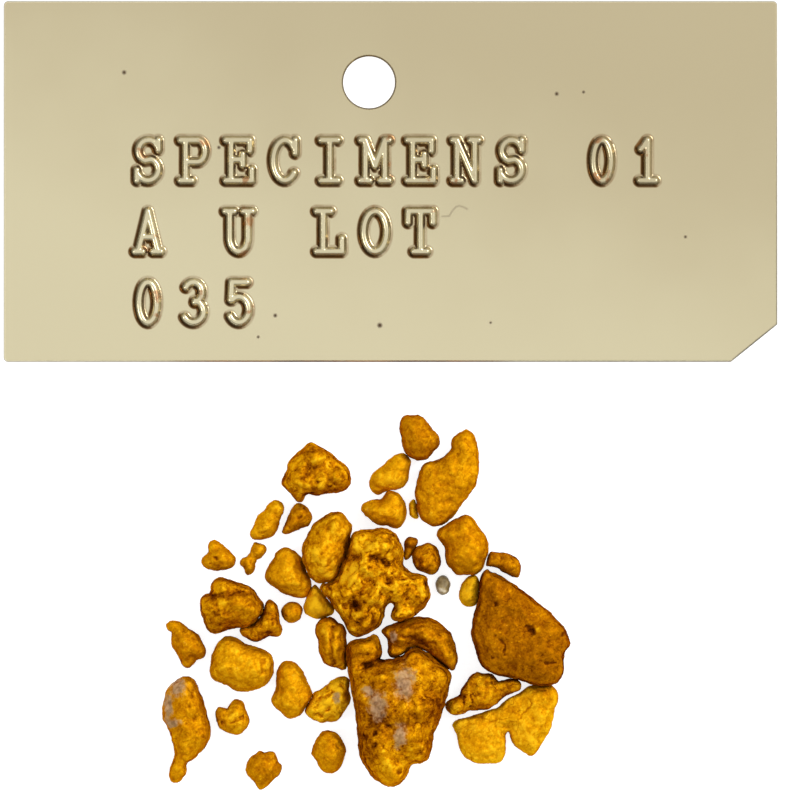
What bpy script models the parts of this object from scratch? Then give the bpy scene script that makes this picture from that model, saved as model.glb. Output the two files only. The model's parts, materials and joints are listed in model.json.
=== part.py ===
"""Gold sample with its embossed tag: one thin metal tag and the loose placer nuggets that it identifies.

Everything lies on one table at z = 0. The tag is at the back (+Y), the nuggets lie in front of it, and the
origin is in the middle of the whole lot, on the table. Each nugget is its own solid and only rests there.
"""

import math
from typing import NamedTuple

import bmesh
import bpy
import numpy as np
from mathutils import Vector, noise
from mathutils.geometry import delaunay_2d_cdt

MM = 0.001
TINY = 1e-9
SHARP_ANGLE = math.radians(40)

# The triangulator's output type that gives only triangles inside the loops, and how near is the same point.
INSIDE_ONLY = 1
SAME_POINT = 1e-6

# The tag's plate, in millimetres.
TAG_WIDTH = 43.3
TAG_HEIGHT = 20.2
TAG_THICKNESS = 0.4
CORNER_RADIUS = 0.25
CLIPPED_CORNER_WIDTH = 2.6
CLIPPED_CORNER_HEIGHT = 2.1
HOLE_DIAMETER = 2.9
HOLE_FROM_TOP = 4.55
HOLE_FROM_MIDDLE = -1.2
CORNER_POINTS = 4
HOLE_TURN_STEP = 12

# The embossed characters: ten to the inch, and 5/32 inch from line to line.
TAG_TEXT = ("SPECIMENS 01", "A U LOT", "035")
CHARACTER_PITCH = 2.54
LINE_PITCH = 3.97
STROKE_BOX_WIDTH = 1.45
STROKE_BOX_HEIGHT = 2.25
STROKE_BASE = 0.27
STROKE_CREST = 0.07
RELIEF = 0.25
STROKE_STEP = 0.4
ARC_TURN_STEP = 30

# Shares of a stroke's base: how close its points may lie, and how near another stroke one may come.
STROKE_CROWDING = 0.6
STROKE_CLEARANCE = 0.97

TEXT_FROM_MIDDLE = 0.4
TEXT_FROM_CENTRE = 0.2

# The heap of nuggets.
HEAP_WIDTH = 22.7
HEAP_FROM_TAG = 2.95
NUGGET_GAP = 0.08
RIM_SHARE = 0.42
OUTLINE_STEP = 0.28
CURVE_STEPS = 8
FEWEST_POINTS = 8
LUMP_SIZE = 0.9

# How a nugget's mesh is laid out: the grid's step as a share of the nugget's size, the least step, the grid's
# clearance as a share of the step, and the insets of the edge row and the foot as shares of the shoulder.
GRID_STEP_SHARE = 0.16
GRID_LEAST_STEP = 0.1
GRID_CLEARANCE = 0.45
EDGE_INSET = 0.22
FOOT_INSET = 0.4

# Shares of a row's inset: how deep its points must lie, and how close together they may be.
ROW_DEPTH = 0.85
ROW_CROWDING = 0.5

# Seeds for the lumps: names are summed up to a cycle, and seeds stand a spacing apart.
SEED_WEIGHT = 3
SEED_CYCLE = 97
SEED_SPACING = 1.7

# The heap as its outlines below give it: x from the tag's middle, y from the middle of the whole layout.
LAYOUT_LEFT = -12.7
LAYOUT_RIGHT = 10.0
LAYOUT_TOP = -1.05
LAYOUT_BOTTOM = -22.05

# Each finish's colour, metallic value and roughness.
FINISHES = {
    "tag_metal": ((0.66, 0.60, 0.40), 0.9, 0.38),
    "gold_bright": ((0.87, 0.52, 0.02), 0.9, 0.35),
    "gold_amber": ((0.72, 0.36, 0.01), 0.9, 0.40),
    "gold_deep": ((0.52, 0.21, 0.01), 0.9, 0.45),
    "gold_quartz": ((0.64, 0.33, 0.04), 0.8, 0.45),
    "grey_stone": ((0.30, 0.28, 0.20), 0.0, 0.50),
}


class Nugget(NamedTuple):
    """One loose piece: its thickness, how far in from its edge it rounds over, its lumpiness and its outline."""

    name: str
    finish: str
    thickness: float
    shoulder: float
    lumps: float
    outline: tuple


# Where two neighbours touch, the one that is listed first keeps its edge and the later one gives way.
NUGGETS = (
    Nugget("crystalline_nugget", "gold_bright", 3.1, 1.2, 0.45, (
        (-2.05, -7.72), (-1.70, -7.52), (-1.00, -7.50), (-0.40, -7.42), (0.10, -7.60), (0.45, -8.05),
        (0.65, -8.50), (0.68, -8.95), (0.62, -9.30), (0.78, -9.62), (1.10, -9.90), (1.60, -9.98),
        (2.00, -10.05), (1.98, -10.45), (2.15, -10.80), (2.15, -11.25), (1.95, -11.65), (1.55, -12.05),
        (1.00, -12.38), (0.50, -12.55), (0.10, -12.48), (0.05, -12.12), (0.30, -11.80), (0.25, -11.48),
        (-0.05, -11.48), (-0.33, -11.75), (-0.40, -12.15), (-0.50, -12.55), (-0.80, -12.95),
        (-1.30, -13.20), (-1.70, -13.40), (-2.10, -13.38), (-2.35, -13.05), (-2.52, -12.65),
        (-2.75, -12.30), (-2.98, -11.92), (-3.25, -11.55), (-3.55, -11.15), (-3.85, -10.80),
        (-4.00, -10.55), (-3.60, -10.48), (-3.12, -10.38), (-2.86, -10.00), (-2.72, -9.50),
        (-2.50, -9.05), (-2.36, -8.60), (-2.22, -8.10))),
    Nugget("boot_nugget", "gold_quartz", 3.4, 1.5, 0.30, (
        (-2.25, -13.78), (-1.70, -13.60), (-1.20, -13.50), (-0.85, -13.18), (-0.68, -13.60),
        (-0.52, -14.10), (-0.42, -14.45), (-0.80, -14.70), (-0.45, -14.78), (0.00, -14.72),
        (0.40, -14.65), (0.75, -14.45), (1.05, -14.15), (1.30, -14.05), (1.65, -14.15), (2.05, -14.38),
        (2.40, -14.65), (2.75, -14.92), (3.05, -15.15), (3.30, -15.50), (3.33, -15.85), (3.20, -16.35),
        (3.05, -16.90), (2.90, -17.50), (2.70, -18.10), (2.45, -18.60), (2.30, -19.05), (2.30, -19.50),
        (2.20, -20.00), (1.95, -20.35), (1.55, -20.48), (1.20, -20.45), (1.00, -20.80), (0.80, -21.30),
        (0.50, -21.60), (0.05, -21.75), (-0.40, -21.65), (-0.90, -21.30), (-1.30, -20.80),
        (-1.60, -20.30), (-1.70, -19.70), (-1.80, -18.90), (-1.85, -18.20), (-1.95, -17.40),
        (-2.10, -16.60), (-2.20, -15.90), (-2.33, -15.30), (-2.42, -14.70), (-2.42, -14.15))),
    Nugget("slab_nugget", "gold_deep", 2.3, 0.8, 0.12, (
        (5.40, -9.68), (5.60, -9.90), (6.00, -10.05), (6.50, -10.35), (7.00, -10.65), (7.60, -11.10),
        (8.20, -11.60), (8.80, -12.05), (9.25, -12.55), (9.60, -12.85), (9.80, -13.20), (9.88, -13.55),
        (10.00, -13.80), (9.85, -14.10), (9.65, -14.35), (9.65, -14.85), (9.65, -15.40), (9.45, -15.80),
        (9.10, -16.05), (8.60, -16.12), (8.05, -16.10), (7.60, -15.95), (7.15, -15.80), (6.70, -15.70),
        (6.25, -15.60), (5.80, -15.48), (5.30, -15.20), (5.00, -14.85), (4.88, -14.40), (4.70, -13.80),
        (4.57, -13.20), (4.62, -12.60), (4.78, -11.95), (4.95, -11.50), (5.00, -10.90), (5.02, -10.35),
        (5.10, -10.00), (5.25, -9.80))),
    Nugget("fish_nugget", "gold_amber", 1.7, 0.8, 0.10, (
        (4.25, -1.90), (4.50, -2.05), (4.70, -2.40), (4.85, -3.00), (4.88, -3.70), (4.88, -4.30),
        (4.75, -4.90), (4.45, -5.40), (4.10, -5.80), (3.85, -6.05), (3.75, -6.35), (3.45, -6.70),
        (3.15, -7.00), (2.80, -7.22), (2.40, -7.25), (2.00, -7.10), (1.75, -6.85), (1.58, -6.50),
        (1.50, -6.10), (1.40, -5.60), (1.45, -5.00), (1.60, -4.50), (1.75, -4.00), (2.05, -3.72),
        (2.60, -3.70), (3.00, -3.40), (3.40, -3.10), (3.50, -2.80), (3.45, -2.40), (3.70, -2.20),
        (4.00, -2.05))),
    Nugget("crescent_nugget", "gold_amber", 2.5, 0.9, 0.15, (
        (-3.00, -6.50), (-2.70, -6.62), (-2.45, -6.98), (-2.20, -7.15), (-2.15, -7.40), (-2.28, -7.65),
        (-2.36, -8.10), (-2.48, -8.60), (-2.62, -9.08), (-2.84, -9.52), (-2.98, -10.00),
        (-3.20, -10.28), (-3.65, -10.38), (-4.05, -10.42), (-4.30, -10.28), (-4.50, -10.00),
        (-4.70, -9.60), (-4.85, -9.15), (-4.88, -8.60), (-4.80, -8.20), (-4.60, -7.75), (-4.25, -7.22),
        (-3.90, -6.92), (-3.50, -6.65))),
    Nugget("block_nugget", "gold_amber", 2.0, 0.9, 0.12, (
        (4.20, -6.68), (4.50, -6.80), (4.70, -7.05), (4.90, -7.40), (5.20, -7.75), (5.40, -8.10),
        (5.45, -8.60), (5.30, -9.10), (5.10, -9.60), (4.85, -9.92), (4.40, -9.96), (4.00, -9.95),
        (3.65, -10.00), (3.50, -9.70), (3.20, -9.35), (3.05, -9.00), (3.15, -8.75), (3.05, -8.35),
        (2.85, -8.05), (2.60, -7.90), (2.65, -7.60), (2.90, -7.38), (3.25, -7.15), (3.65, -6.90))),
    Nugget("butterfly_nugget", "gold_bright", 1.0, 0.45, 0.10, (
        (7.65, -16.35), (8.10, -16.22), (8.60, -16.22), (9.05, -16.22), (9.25, -16.50), (9.35, -16.80),
        (9.25, -17.20), (9.10, -17.50), (9.05, -18.00), (8.90, -18.60), (8.60, -19.10), (8.30, -19.60),
        (8.05, -20.05), (7.85, -20.15), (7.60, -19.95), (7.20, -19.70), (6.85, -19.40), (6.75, -19.00),
        (6.70, -18.75), (6.55, -18.65), (6.40, -18.80), (6.40, -19.30), (6.40, -19.80), (6.32, -20.20),
        (6.20, -20.45), (5.60, -20.50), (5.00, -20.50), (4.40, -20.30), (4.00, -19.95), (3.85, -19.50),
        (3.80, -19.10), (3.65, -18.75), (3.50, -18.40), (3.75, -18.15), (4.30, -18.05), (4.90, -17.85),
        (5.50, -17.65), (6.00, -17.50), (6.35, -17.20), (6.80, -16.85), (7.30, -16.68))),
    Nugget("hood_nugget", "gold_deep", 2.2, 0.8, 0.20, (
        (0.00, -12.85), (0.50, -12.65), (1.00, -12.44), (1.50, -12.40), (2.10, -12.45), (2.60, -12.65),
        (3.00, -12.95), (3.40, -13.40), (3.55, -13.90), (3.65, -14.40), (3.70, -14.80), (3.60, -15.15),
        (3.45, -15.38), (3.15, -15.10), (2.80, -14.85), (2.45, -14.58), (2.10, -14.28), (1.70, -14.05),
        (1.30, -13.95), (0.98, -14.08), (0.68, -14.38), (0.30, -14.56), (0.00, -14.58), (-0.12, -14.25),
        (-0.05, -13.90), (-0.08, -13.60), (-0.30, -13.40), (-0.50, -13.15), (-0.30, -12.98))),
    Nugget("loaf_nugget", "gold_bright", 2.1, 1.0, 0.12, (
        (-9.10, -13.48), (-8.70, -13.55), (-8.30, -13.80), (-7.90, -13.98), (-7.30, -14.15),
        (-6.80, -14.40), (-6.58, -14.70), (-6.60, -15.20), (-6.65, -15.60), (-6.85, -15.95),
        (-7.30, -16.25), (-7.80, -16.40), (-8.40, -16.48), (-8.80, -16.35), (-9.10, -16.10),
        (-9.50, -15.98), (-9.80, -15.85), (-10.05, -15.55), (-10.02, -15.00), (-9.95, -14.50),
        (-9.75, -14.10), (-9.60, -13.75), (-9.35, -13.55))),
    Nugget("veined_nugget", "gold_quartz", 2.0, 0.9, 0.18, (
        (-11.30, -15.70), (-11.05, -15.85), (-10.85, -16.20), (-10.70, -16.60), (-10.50, -17.00),
        (-10.40, -17.50), (-10.25, -18.00), (-10.15, -18.40), (-10.10, -18.90), (-10.25, -19.35),
        (-10.50, -19.75), (-10.80, -20.00), (-11.00, -20.30), (-11.40, -20.42), (-11.50, -20.75),
        (-11.42, -21.00), (-11.60, -21.28), (-11.85, -21.50), (-12.10, -21.60), (-12.30, -21.40),
        (-12.30, -21.00), (-12.20, -20.60), (-12.05, -20.30), (-12.00, -19.90), (-12.10, -19.40),
        (-12.25, -18.90), (-12.45, -18.40), (-12.65, -18.00), (-12.70, -17.60), (-12.58, -17.05),
        (-12.50, -16.60), (-12.30, -16.20), (-11.95, -15.95), (-11.60, -15.75))),
    Nugget("cluster_nugget", "gold_deep", 2.4, 0.9, 0.30, (
        (-9.55, -10.20), (-9.10, -10.28), (-8.60, -10.45), (-8.20, -10.60), (-7.80, -10.75),
        (-7.55, -11.00), (-7.52, -11.25), (-7.28, -11.40), (-7.10, -11.68), (-7.15, -12.02),
        (-7.38, -12.35), (-7.62, -12.60), (-7.82, -12.80), (-8.20, -12.88), (-8.65, -12.90),
        (-9.10, -13.00), (-9.40, -13.15), (-9.80, -13.25), (-10.10, -13.20), (-10.30, -12.85),
        (-10.35, -12.45), (-10.55, -12.10), (-10.60, -11.70), (-10.55, -11.30), (-10.35, -11.10),
        (-10.05, -11.10), (-9.98, -10.80), (-9.95, -10.50), (-9.80, -10.30))),
    Nugget("cap_nugget", "gold_amber", 2.2, 0.9, 0.25, (
        (-4.50, -2.65), (-4.00, -2.85), (-3.40, -3.20), (-2.95, -3.60), (-2.50, -4.00), (-2.30, -4.50),
        (-2.30, -4.90), (-2.60, -5.25), (-3.20, -5.36), (-3.70, -5.42), (-4.10, -5.52), (-4.60, -5.42),
        (-4.85, -5.55), (-4.92, -5.88), (-5.20, -5.88), (-5.50, -5.45), (-6.02, -4.95), (-5.95, -4.60),
        (-5.72, -4.20), (-5.70, -3.80), (-5.40, -3.40), (-4.95, -3.05))),
    Nugget("oval_nugget", "gold_amber", 1.7, 0.9, 0.10, (
        (-5.80, -14.85), (-5.40, -14.90), (-5.10, -15.20), (-4.85, -15.60), (-4.70, -16.00),
        (-4.50, -16.40), (-4.42, -16.80), (-4.62, -17.12), (-4.88, -17.50), (-5.05, -17.80),
        (-5.40, -17.95), (-5.80, -17.95), (-6.10, -17.65), (-6.50, -17.30), (-6.68, -17.00),
        (-6.50, -16.70), (-6.35, -16.40), (-6.33, -15.90), (-6.30, -15.40), (-6.15, -15.05))),
    Nugget("pebble_nugget", "gold_amber", 1.6, 0.8, 0.08, (
        (-6.20, -8.65), (-5.90, -8.52), (-5.55, -8.58), (-5.30, -8.75), (-5.15, -8.92), (-4.98, -9.10),
        (-4.95, -9.35), (-4.80, -9.75), (-4.60, -10.15), (-4.42, -10.45), (-4.50, -10.75),
        (-4.62, -11.05), (-4.80, -11.22), (-5.30, -11.20), (-5.90, -11.00), (-6.40, -10.70),
        (-6.85, -10.35), (-6.95, -9.95), (-6.75, -9.50), (-6.50, -9.10), (-6.40, -8.85))),
    Nugget("wedge_nugget", "gold_amber", 1.5, 0.7, 0.08, (
        (-4.22, -10.56), (-3.98, -10.85), (-3.68, -11.22), (-3.38, -11.62), (-3.12, -11.98),
        (-3.40, -12.20), (-3.80, -12.38), (-4.30, -12.35), (-4.75, -12.10), (-4.77, -11.60),
        (-4.60, -11.12), (-4.40, -10.72))),
    Nugget("ribbed_nugget", "gold_deep", 2.0, 0.7, 0.15, (
        (-3.35, -12.40), (-3.12, -12.52), (-2.98, -12.75), (-2.75, -12.72), (-2.60, -12.90),
        (-2.52, -13.25), (-2.52, -13.70), (-2.52, -14.20), (-2.52, -14.80), (-2.45, -15.28),
        (-2.60, -15.38), (-2.78, -15.22), (-2.95, -15.13), (-3.25, -15.10), (-3.60, -14.95),
        (-3.85, -14.60), (-3.95, -14.10), (-4.00, -13.60), (-4.15, -13.20), (-4.15, -12.90),
        (-4.00, -12.60), (-3.70, -12.46))),
    Nugget("openwork_nugget", "gold_bright", 1.6, 0.6, 0.30, (
        (-4.30, -16.65), (-4.00, -16.50), (-3.60, -16.25), (-3.30, -16.00), (-2.95, -15.80),
        (-2.60, -15.70), (-2.40, -15.76), (-2.34, -16.00), (-2.40, -16.35), (-2.30, -16.75),
        (-2.30, -17.05), (-2.50, -17.40), (-2.70, -17.70), (-2.95, -18.10), (-3.30, -18.15),
        (-3.60, -18.12), (-3.85, -18.25), (-4.15, -18.10), (-4.50, -17.95), (-4.75, -17.72),
        (-4.72, -17.48), (-4.48, -17.15), (-4.32, -16.90))),
    Nugget("knuckle_nugget", "gold_deep", 1.8, 0.6, 0.30, (
        (-6.75, -11.40), (-6.50, -11.60), (-6.35, -11.85), (-6.30, -12.20), (-6.25, -12.60),
        (-6.12, -12.90), (-6.10, -13.15), (-6.30, -13.40), (-6.55, -13.42), (-6.85, -13.30),
        (-7.05, -13.50), (-7.30, -13.68), (-7.70, -13.65), (-8.00, -13.50), (-8.30, -13.25),
        (-8.58, -13.06), (-8.12, -12.98), (-7.72, -12.92), (-7.50, -12.67), (-7.22, -12.38),
        (-7.02, -12.02), (-6.97, -11.70), (-6.90, -11.50))),
    Nugget("knobby_nugget", "gold_deep", 1.6, 0.6, 0.28, (
        (4.85, -15.50), (5.10, -15.57), (5.40, -15.56), (5.75, -15.66), (5.87, -15.85), (5.98, -16.02),
        (6.30, -15.96), (6.70, -15.88), (7.10, -15.92), (7.30, -16.12), (7.25, -16.40), (6.90, -16.52),
        (6.50, -16.65), (6.10, -16.95), (5.80, -17.22), (5.40, -17.45), (4.90, -17.50), (4.30, -17.55),
        (3.90, -17.75), (3.50, -17.82), (3.25, -17.60), (3.07, -17.35), (3.30, -17.05), (3.70, -16.85),
        (4.02, -16.70), (3.97, -16.48), (4.20, -16.20), (4.40, -15.82), (4.60, -15.60))),
    Nugget("heart_nugget", "gold_amber", 1.5, 0.8, 0.08, (
        (0.10, -5.38), (0.40, -5.50), (0.65, -5.80), (0.82, -6.15), (0.83, -6.60), (0.70, -7.05),
        (0.50, -7.34), (0.20, -7.36), (-0.05, -7.22), (-0.40, -7.18), (-0.90, -7.05), (-1.30, -6.70),
        (-1.62, -6.40), (-1.50, -6.05), (-1.10, -5.88), (-0.60, -5.85), (-0.40, -5.82),
        (-0.30, -5.55), (-0.15, -5.40))),
    Nugget("acorn_nugget", "gold_deep", 1.7, 0.9, 0.08, (
        (1.00, -1.08), (1.25, -1.15), (1.50, -1.08), (1.85, -1.30), (2.10, -1.65), (2.35, -1.95),
        (2.60, -2.15), (2.70, -2.50), (2.60, -2.85), (2.30, -3.15), (2.00, -3.50), (1.60, -3.56),
        (1.30, -3.50), (1.00, -3.35), (0.80, -3.05), (0.70, -2.60), (0.60, -2.10), (0.55, -1.60),
        (0.70, -1.20))),
    Nugget("slipper_nugget", "gold_amber", 1.3, 0.7, 0.12, (
        (0.68, -3.20), (0.88, -3.42), (1.08, -3.58), (1.10, -3.75), (1.02, -4.15), (0.95, -4.60),
        (0.75, -5.00), (0.40, -5.20), (-0.10, -5.22), (-0.45, -5.32), (-0.70, -5.50), (-1.00, -5.30),
        (-1.12, -4.90), (-1.05, -4.55), (-0.75, -4.20), (-0.40, -3.95), (-0.15, -3.70), (0.20, -3.40))),
    Nugget("finger_nugget", "gold_deep", 1.3, 0.55, 0.15, (
        (5.62, -8.74), (5.95, -8.80), (6.40, -8.86), (6.90, -9.02), (7.20, -9.35), (7.25, -9.80),
        (7.15, -10.10), (6.85, -10.05), (6.40, -9.85), (6.00, -9.58), (5.60, -9.45), (5.32, -9.55),
        (5.42, -9.25), (5.53, -8.95))),
    Nugget("half_moon_nugget", "gold_bright", 1.1, 0.5, 0.05, (
        (4.40, -10.10), (4.78, -10.08), (4.92, -10.35), (4.90, -10.90), (4.85, -11.40), (4.68, -11.72),
        (4.35, -11.75), (4.00, -11.50), (3.85, -11.15), (3.95, -10.75), (4.12, -10.40))),
    Nugget("button_nugget", "gold_deep", 1.5, 0.7, 0.18, (
        (2.10, -8.28), (2.45, -8.45), (2.65, -8.80), (2.78, -9.30), (2.65, -9.72), (2.35, -9.95),
        (2.10, -9.90), (1.85, -9.80), (1.52, -9.72), (1.35, -9.40), (1.28, -9.05), (1.25, -8.75),
        (1.42, -8.52), (1.75, -8.42))),
    Nugget("stick_nugget", "gold_deep", 0.9, 0.25, 0.10, (
        (1.00, -7.95), (1.22, -8.00), (1.45, -7.88), (1.50, -8.10), (1.36, -8.40), (1.20, -8.66),
        (1.05, -8.98), (0.88, -9.25), (0.76, -9.18), (0.80, -8.75), (0.86, -8.38), (0.82, -8.10))),
    Nugget("nut_nugget", "gold_amber", 1.6, 0.9, 0.10, (
        (-3.50, -18.70), (-3.20, -18.80), (-2.90, -19.05), (-2.70, -19.40), (-2.52, -19.75),
        (-2.65, -20.20), (-2.80, -20.60), (-3.00, -20.95), (-3.40, -21.05), (-3.75, -20.95),
        (-4.00, -20.55), (-4.20, -20.20), (-4.38, -19.95), (-4.25, -19.60), (-4.10, -19.20),
        (-3.85, -18.85))),
    Nugget("star_nugget", "gold_amber", 1.2, 0.6, 0.18, (
        (-7.25, -19.85), (-7.05, -20.00), (-6.85, -19.95), (-6.60, -19.85), (-6.48, -20.10),
        (-6.35, -20.40), (-6.15, -20.55), (-6.13, -20.85), (-6.15, -21.05), (-6.35, -21.25),
        (-6.60, -21.40), (-6.85, -21.70), (-7.10, -21.95), (-7.25, -22.05), (-7.40, -21.90),
        (-7.55, -21.60), (-7.80, -21.30), (-8.00, -21.15), (-8.02, -20.85), (-8.00, -20.55),
        (-7.75, -20.25), (-7.60, -20.05), (-7.40, -19.98))),
    Nugget("claw_nugget", "gold_amber", 1.3, 0.5, 0.20, (
        (-8.60, -17.00), (-8.35, -17.10), (-8.20, -17.35), (-8.15, -17.65), (-8.00, -17.90),
        (-7.92, -18.20), (-8.05, -18.50), (-8.25, -18.75), (-8.50, -18.90), (-8.85, -18.85),
        (-9.20, -18.70), (-9.50, -18.55), (-9.65, -18.30), (-9.72, -17.90), (-9.72, -17.55),
        (-9.55, -17.38), (-9.35, -17.50), (-9.20, -17.60), (-9.00, -17.50), (-8.95, -17.25),
        (-8.80, -17.05))),
    Nugget("fin_nugget", "gold_deep", 1.3, 0.7, 0.12, (
        (-12.55, -12.80), (-12.30, -12.62), (-11.90, -12.65), (-11.50, -12.90), (-11.20, -13.10),
        (-10.80, -13.35), (-10.60, -13.70), (-10.45, -14.10), (-10.35, -14.40), (-10.45, -14.60),
        (-10.70, -14.65), (-10.85, -14.60), (-11.00, -14.90), (-11.20, -15.15), (-11.40, -15.22),
        (-11.60, -15.05), (-11.75, -14.60), (-11.95, -14.30), (-12.20, -13.90), (-12.20, -13.50),
        (-12.15, -13.20), (-12.40, -13.05))),
    Nugget("kidney_nugget", "gold_amber", 1.3, 0.7, 0.10, (
        (-9.85, -8.10), (-9.50, -8.30), (-9.10, -8.65), (-8.80, -8.90), (-8.68, -9.20), (-8.80, -9.50),
        (-9.10, -9.65), (-9.60, -9.68), (-10.00, -9.72), (-10.35, -9.55), (-10.55, -9.25),
        (-10.45, -9.00), (-10.15, -8.85), (-10.10, -8.65), (-10.20, -8.40), (-10.10, -8.18))),
    Nugget("slug_nugget", "gold_amber", 1.3, 0.7, 0.12, (
        (-6.30, -5.85), (-6.03, -6.10), (-6.03, -6.55), (-6.25, -6.90), (-6.35, -7.45), (-6.70, -7.85),
        (-7.20, -7.98), (-7.60, -8.02), (-7.83, -7.80), (-7.60, -7.30), (-7.40, -6.80),
        (-7.00, -6.40), (-6.70, -6.00))),
    Nugget("teardrop_nugget", "gold_deep", 1.1, 0.55, 0.12, (
        (-5.10, -6.02), (-4.65, -6.35), (-4.42, -6.70), (-4.50, -7.10), (-4.95, -7.35), (-5.50, -7.55),
        (-6.00, -7.75), (-6.10, -7.60), (-5.90, -7.30), (-5.70, -6.80), (-5.45, -6.30))),
    Nugget("bone_nugget", "gold_amber", 0.8, 0.35, 0.10, (
        (-7.60, -8.18), (-7.35, -8.30), (-7.00, -8.40), (-6.95, -8.60), (-7.10, -8.90), (-7.30, -9.08),
        (-7.55, -9.02), (-7.62, -9.35), (-7.65, -9.75), (-7.85, -9.95), (-8.05, -10.10),
        (-8.12, -9.95), (-8.10, -9.65), (-8.20, -9.45), (-8.50, -9.40), (-8.40, -9.20),
        (-8.05, -9.08), (-7.85, -8.85), (-7.70, -8.60), (-7.72, -8.35))),
    Nugget("pea_nugget", "gold_amber", 1.0, 0.5, 0.05, (
        (-5.45, -11.55), (-5.20, -11.65), (-5.00, -11.85), (-5.00, -12.20), (-5.15, -12.50),
        (-5.50, -12.65), (-5.85, -12.55), (-6.05, -12.30), (-6.10, -12.05), (-5.95, -11.80),
        (-5.70, -11.60))),
    Nugget("chip_nugget", "gold_deep", 0.7, 0.25, 0.04, (
        (1.30, -5.80), (1.40, -6.10), (1.44, -6.50), (1.58, -6.82), (1.40, -6.85), (1.12, -6.62),
        (1.08, -6.25), (1.15, -5.95))),
    Nugget("stone_grain", "grey_stone", 0.7, 0.4, 0.02, (
        (2.95, -10.07), (3.20, -10.20), (3.31, -10.50), (3.28, -10.85), (3.12, -11.08), (2.92, -11.12),
        (2.70, -10.98), (2.58, -10.65), (2.60, -10.35), (2.74, -10.14))),
)


# ---------------------------------------------------------------- curves in the plane


def smooth_loop(corners, step):
    """A closed smooth curve through the corners, as points about one step apart."""
    p = np.array(corners, float)
    before, after, beyond = (np.roll(p, k, 0) for k in (1, -1, -2))
    fine = []
    for t in np.linspace(0, 1, CURVE_STEPS, endpoint=False):
        fine.append(0.5 * (2 * p + (after - before) * t
                           + (2 * before - 5 * p + 4 * after - beyond) * t**2
                           + (3 * p - before - 3 * after + beyond) * t**3))
    dense = np.stack(fine, 1).reshape(-1, 2)
    return even_steps(dense, step)


def even_steps(loop, step):
    """The same closed loop with its points spaced evenly, about one step apart."""
    closed = np.vstack([loop, loop[:1]])
    length = np.concatenate([[0], np.cumsum(np.linalg.norm(np.diff(closed, axis=0), axis=1))])
    count = max(FEWEST_POINTS, round(length[-1] / step))
    at = np.linspace(0, length[-1], count, endpoint=False)
    return np.stack([np.interp(at, length, closed[:, k]) for k in (0, 1)], 1)


def nearest(points, starts, ends):
    """For each point, the closest spot on a set of straight segments and the distance to it."""
    along = ends - starts
    reach = points[:, None] - starts
    share = np.clip((reach * along).sum(2) / np.maximum((along**2).sum(1), TINY), 0, 1)
    spots = starts + share[..., None] * along
    away = np.linalg.norm(points[:, None] - spots, axis=2)
    best = away.argmin(1)
    rows = np.arange(len(points))
    return spots[rows, best], away[rows, best]


def inside(points, loop):
    """Which points lie inside a closed loop."""
    x, y = points[:, 0, None], points[:, 1, None]
    ax, ay = loop[:, 0], loop[:, 1]
    bx, by = np.roll(loop, -1, 0).T
    spans = (ay > y) != (by > y)
    rise = np.where(by == ay, 1, by - ay)
    crosses = spans & (x < (bx - ax) * (y - ay) / rise + ax)
    return crosses.sum(1) % 2 == 1


def depth(points, loop):
    """How far inside a closed loop each point is, negative outside, with the closest spot on the loop."""
    spots, away = nearest(points, loop, np.roll(loop, -1, 0))
    return np.where(inside(points, loop), away, -away), spots


def give_way(loop, others, gap):
    """Pushes a loop's points out of its neighbours' loops, until they are a gap away."""
    loop = loop.copy()
    for other in others:
        low, high = other.min(0) - gap, other.max(0) + gap
        near = ((loop > low) & (loop < high)).all(1)
        if not near.any():
            continue
        deep, spots = depth(loop[near], other)
        outward = (loop[near] - spots) * np.where(deep > 0, -1, 1)[:, None]
        outward /= np.maximum(np.linalg.norm(outward, axis=1), TINY)[:, None]
        move = np.maximum(deep + gap, 0)
        loop[near] = np.where((move > 0)[:, None], spots + outward * gap, loop[near])
    return loop


def triangulate(points, loops):
    """Triangles over the area inside the first loop and outside any others. The loops are rows of indices."""
    edges = [(a, b) for loop in loops for a, b in zip(loop, np.roll(loop, -1))]
    edges = [(int(a), int(b)) for a, b in edges]
    made = delaunay_2d_cdt([Vector(p) for p in points], edges, [], INSIDE_ONLY, SAME_POINT)
    if len(made[0]) != len(points):
        raise ValueError("two points of an outline coincide, or the outline crosses itself")
    source = [ids[0] for ids in made[3]]
    faces = np.array([[source[i] for i in face] for face in made[2]])
    centres = points[faces].mean(1)
    for hole in loops[1:]:
        open_there = inside(centres, points[hole])
        faces, centres = faces[~open_there], centres[~open_there]
    return faces.tolist()


def hexagonal_grid(loop, step, margin):
    """Points of an even grid that are at least a margin inside the loop."""
    low, high = loop.min(0), loop.max(0)
    rows = []
    for n, y in enumerate(np.arange(low[1], high[1], step * math.sqrt(0.75))):
        x = np.arange(low[0] + step * (n % 2) / 2, high[0], step)
        rows.append(np.stack([x, np.full(len(x), y)], 1))
    grid = np.vstack(rows)
    return grid[depth(grid, loop)[0] > margin]


# ---------------------------------------------------------------- nuggets


def inner_row(loop, inset):
    """A row of points one inset inside the loop, without those that would crowd a narrow place."""
    tangent = np.roll(loop, -1, 0) - np.roll(loop, 1, 0)
    tangent /= np.linalg.norm(tangent, axis=1)[:, None]
    normal = np.stack([-tangent[:, 1], tangent[:, 0]], 1)
    row = loop + normal * inset
    deep, _ = depth(row, loop)
    if (deep > 0).mean() < 1 / 2:
        row = loop - normal * inset
        deep, _ = depth(row, loop)
    return thinned(row[deep > ROW_DEPTH * inset], ROW_CROWDING * inset)


def thinned(points, spacing):
    """The points in order, each kept only if it is a spacing away from those kept before it."""
    kept = []
    for p in points:
        if all((p[0] - q[0])**2 + (p[1] - q[1])**2 > spacing**2 for q in kept):
            kept.append(p)
    return np.array(kept).reshape(-1, 2)


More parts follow.
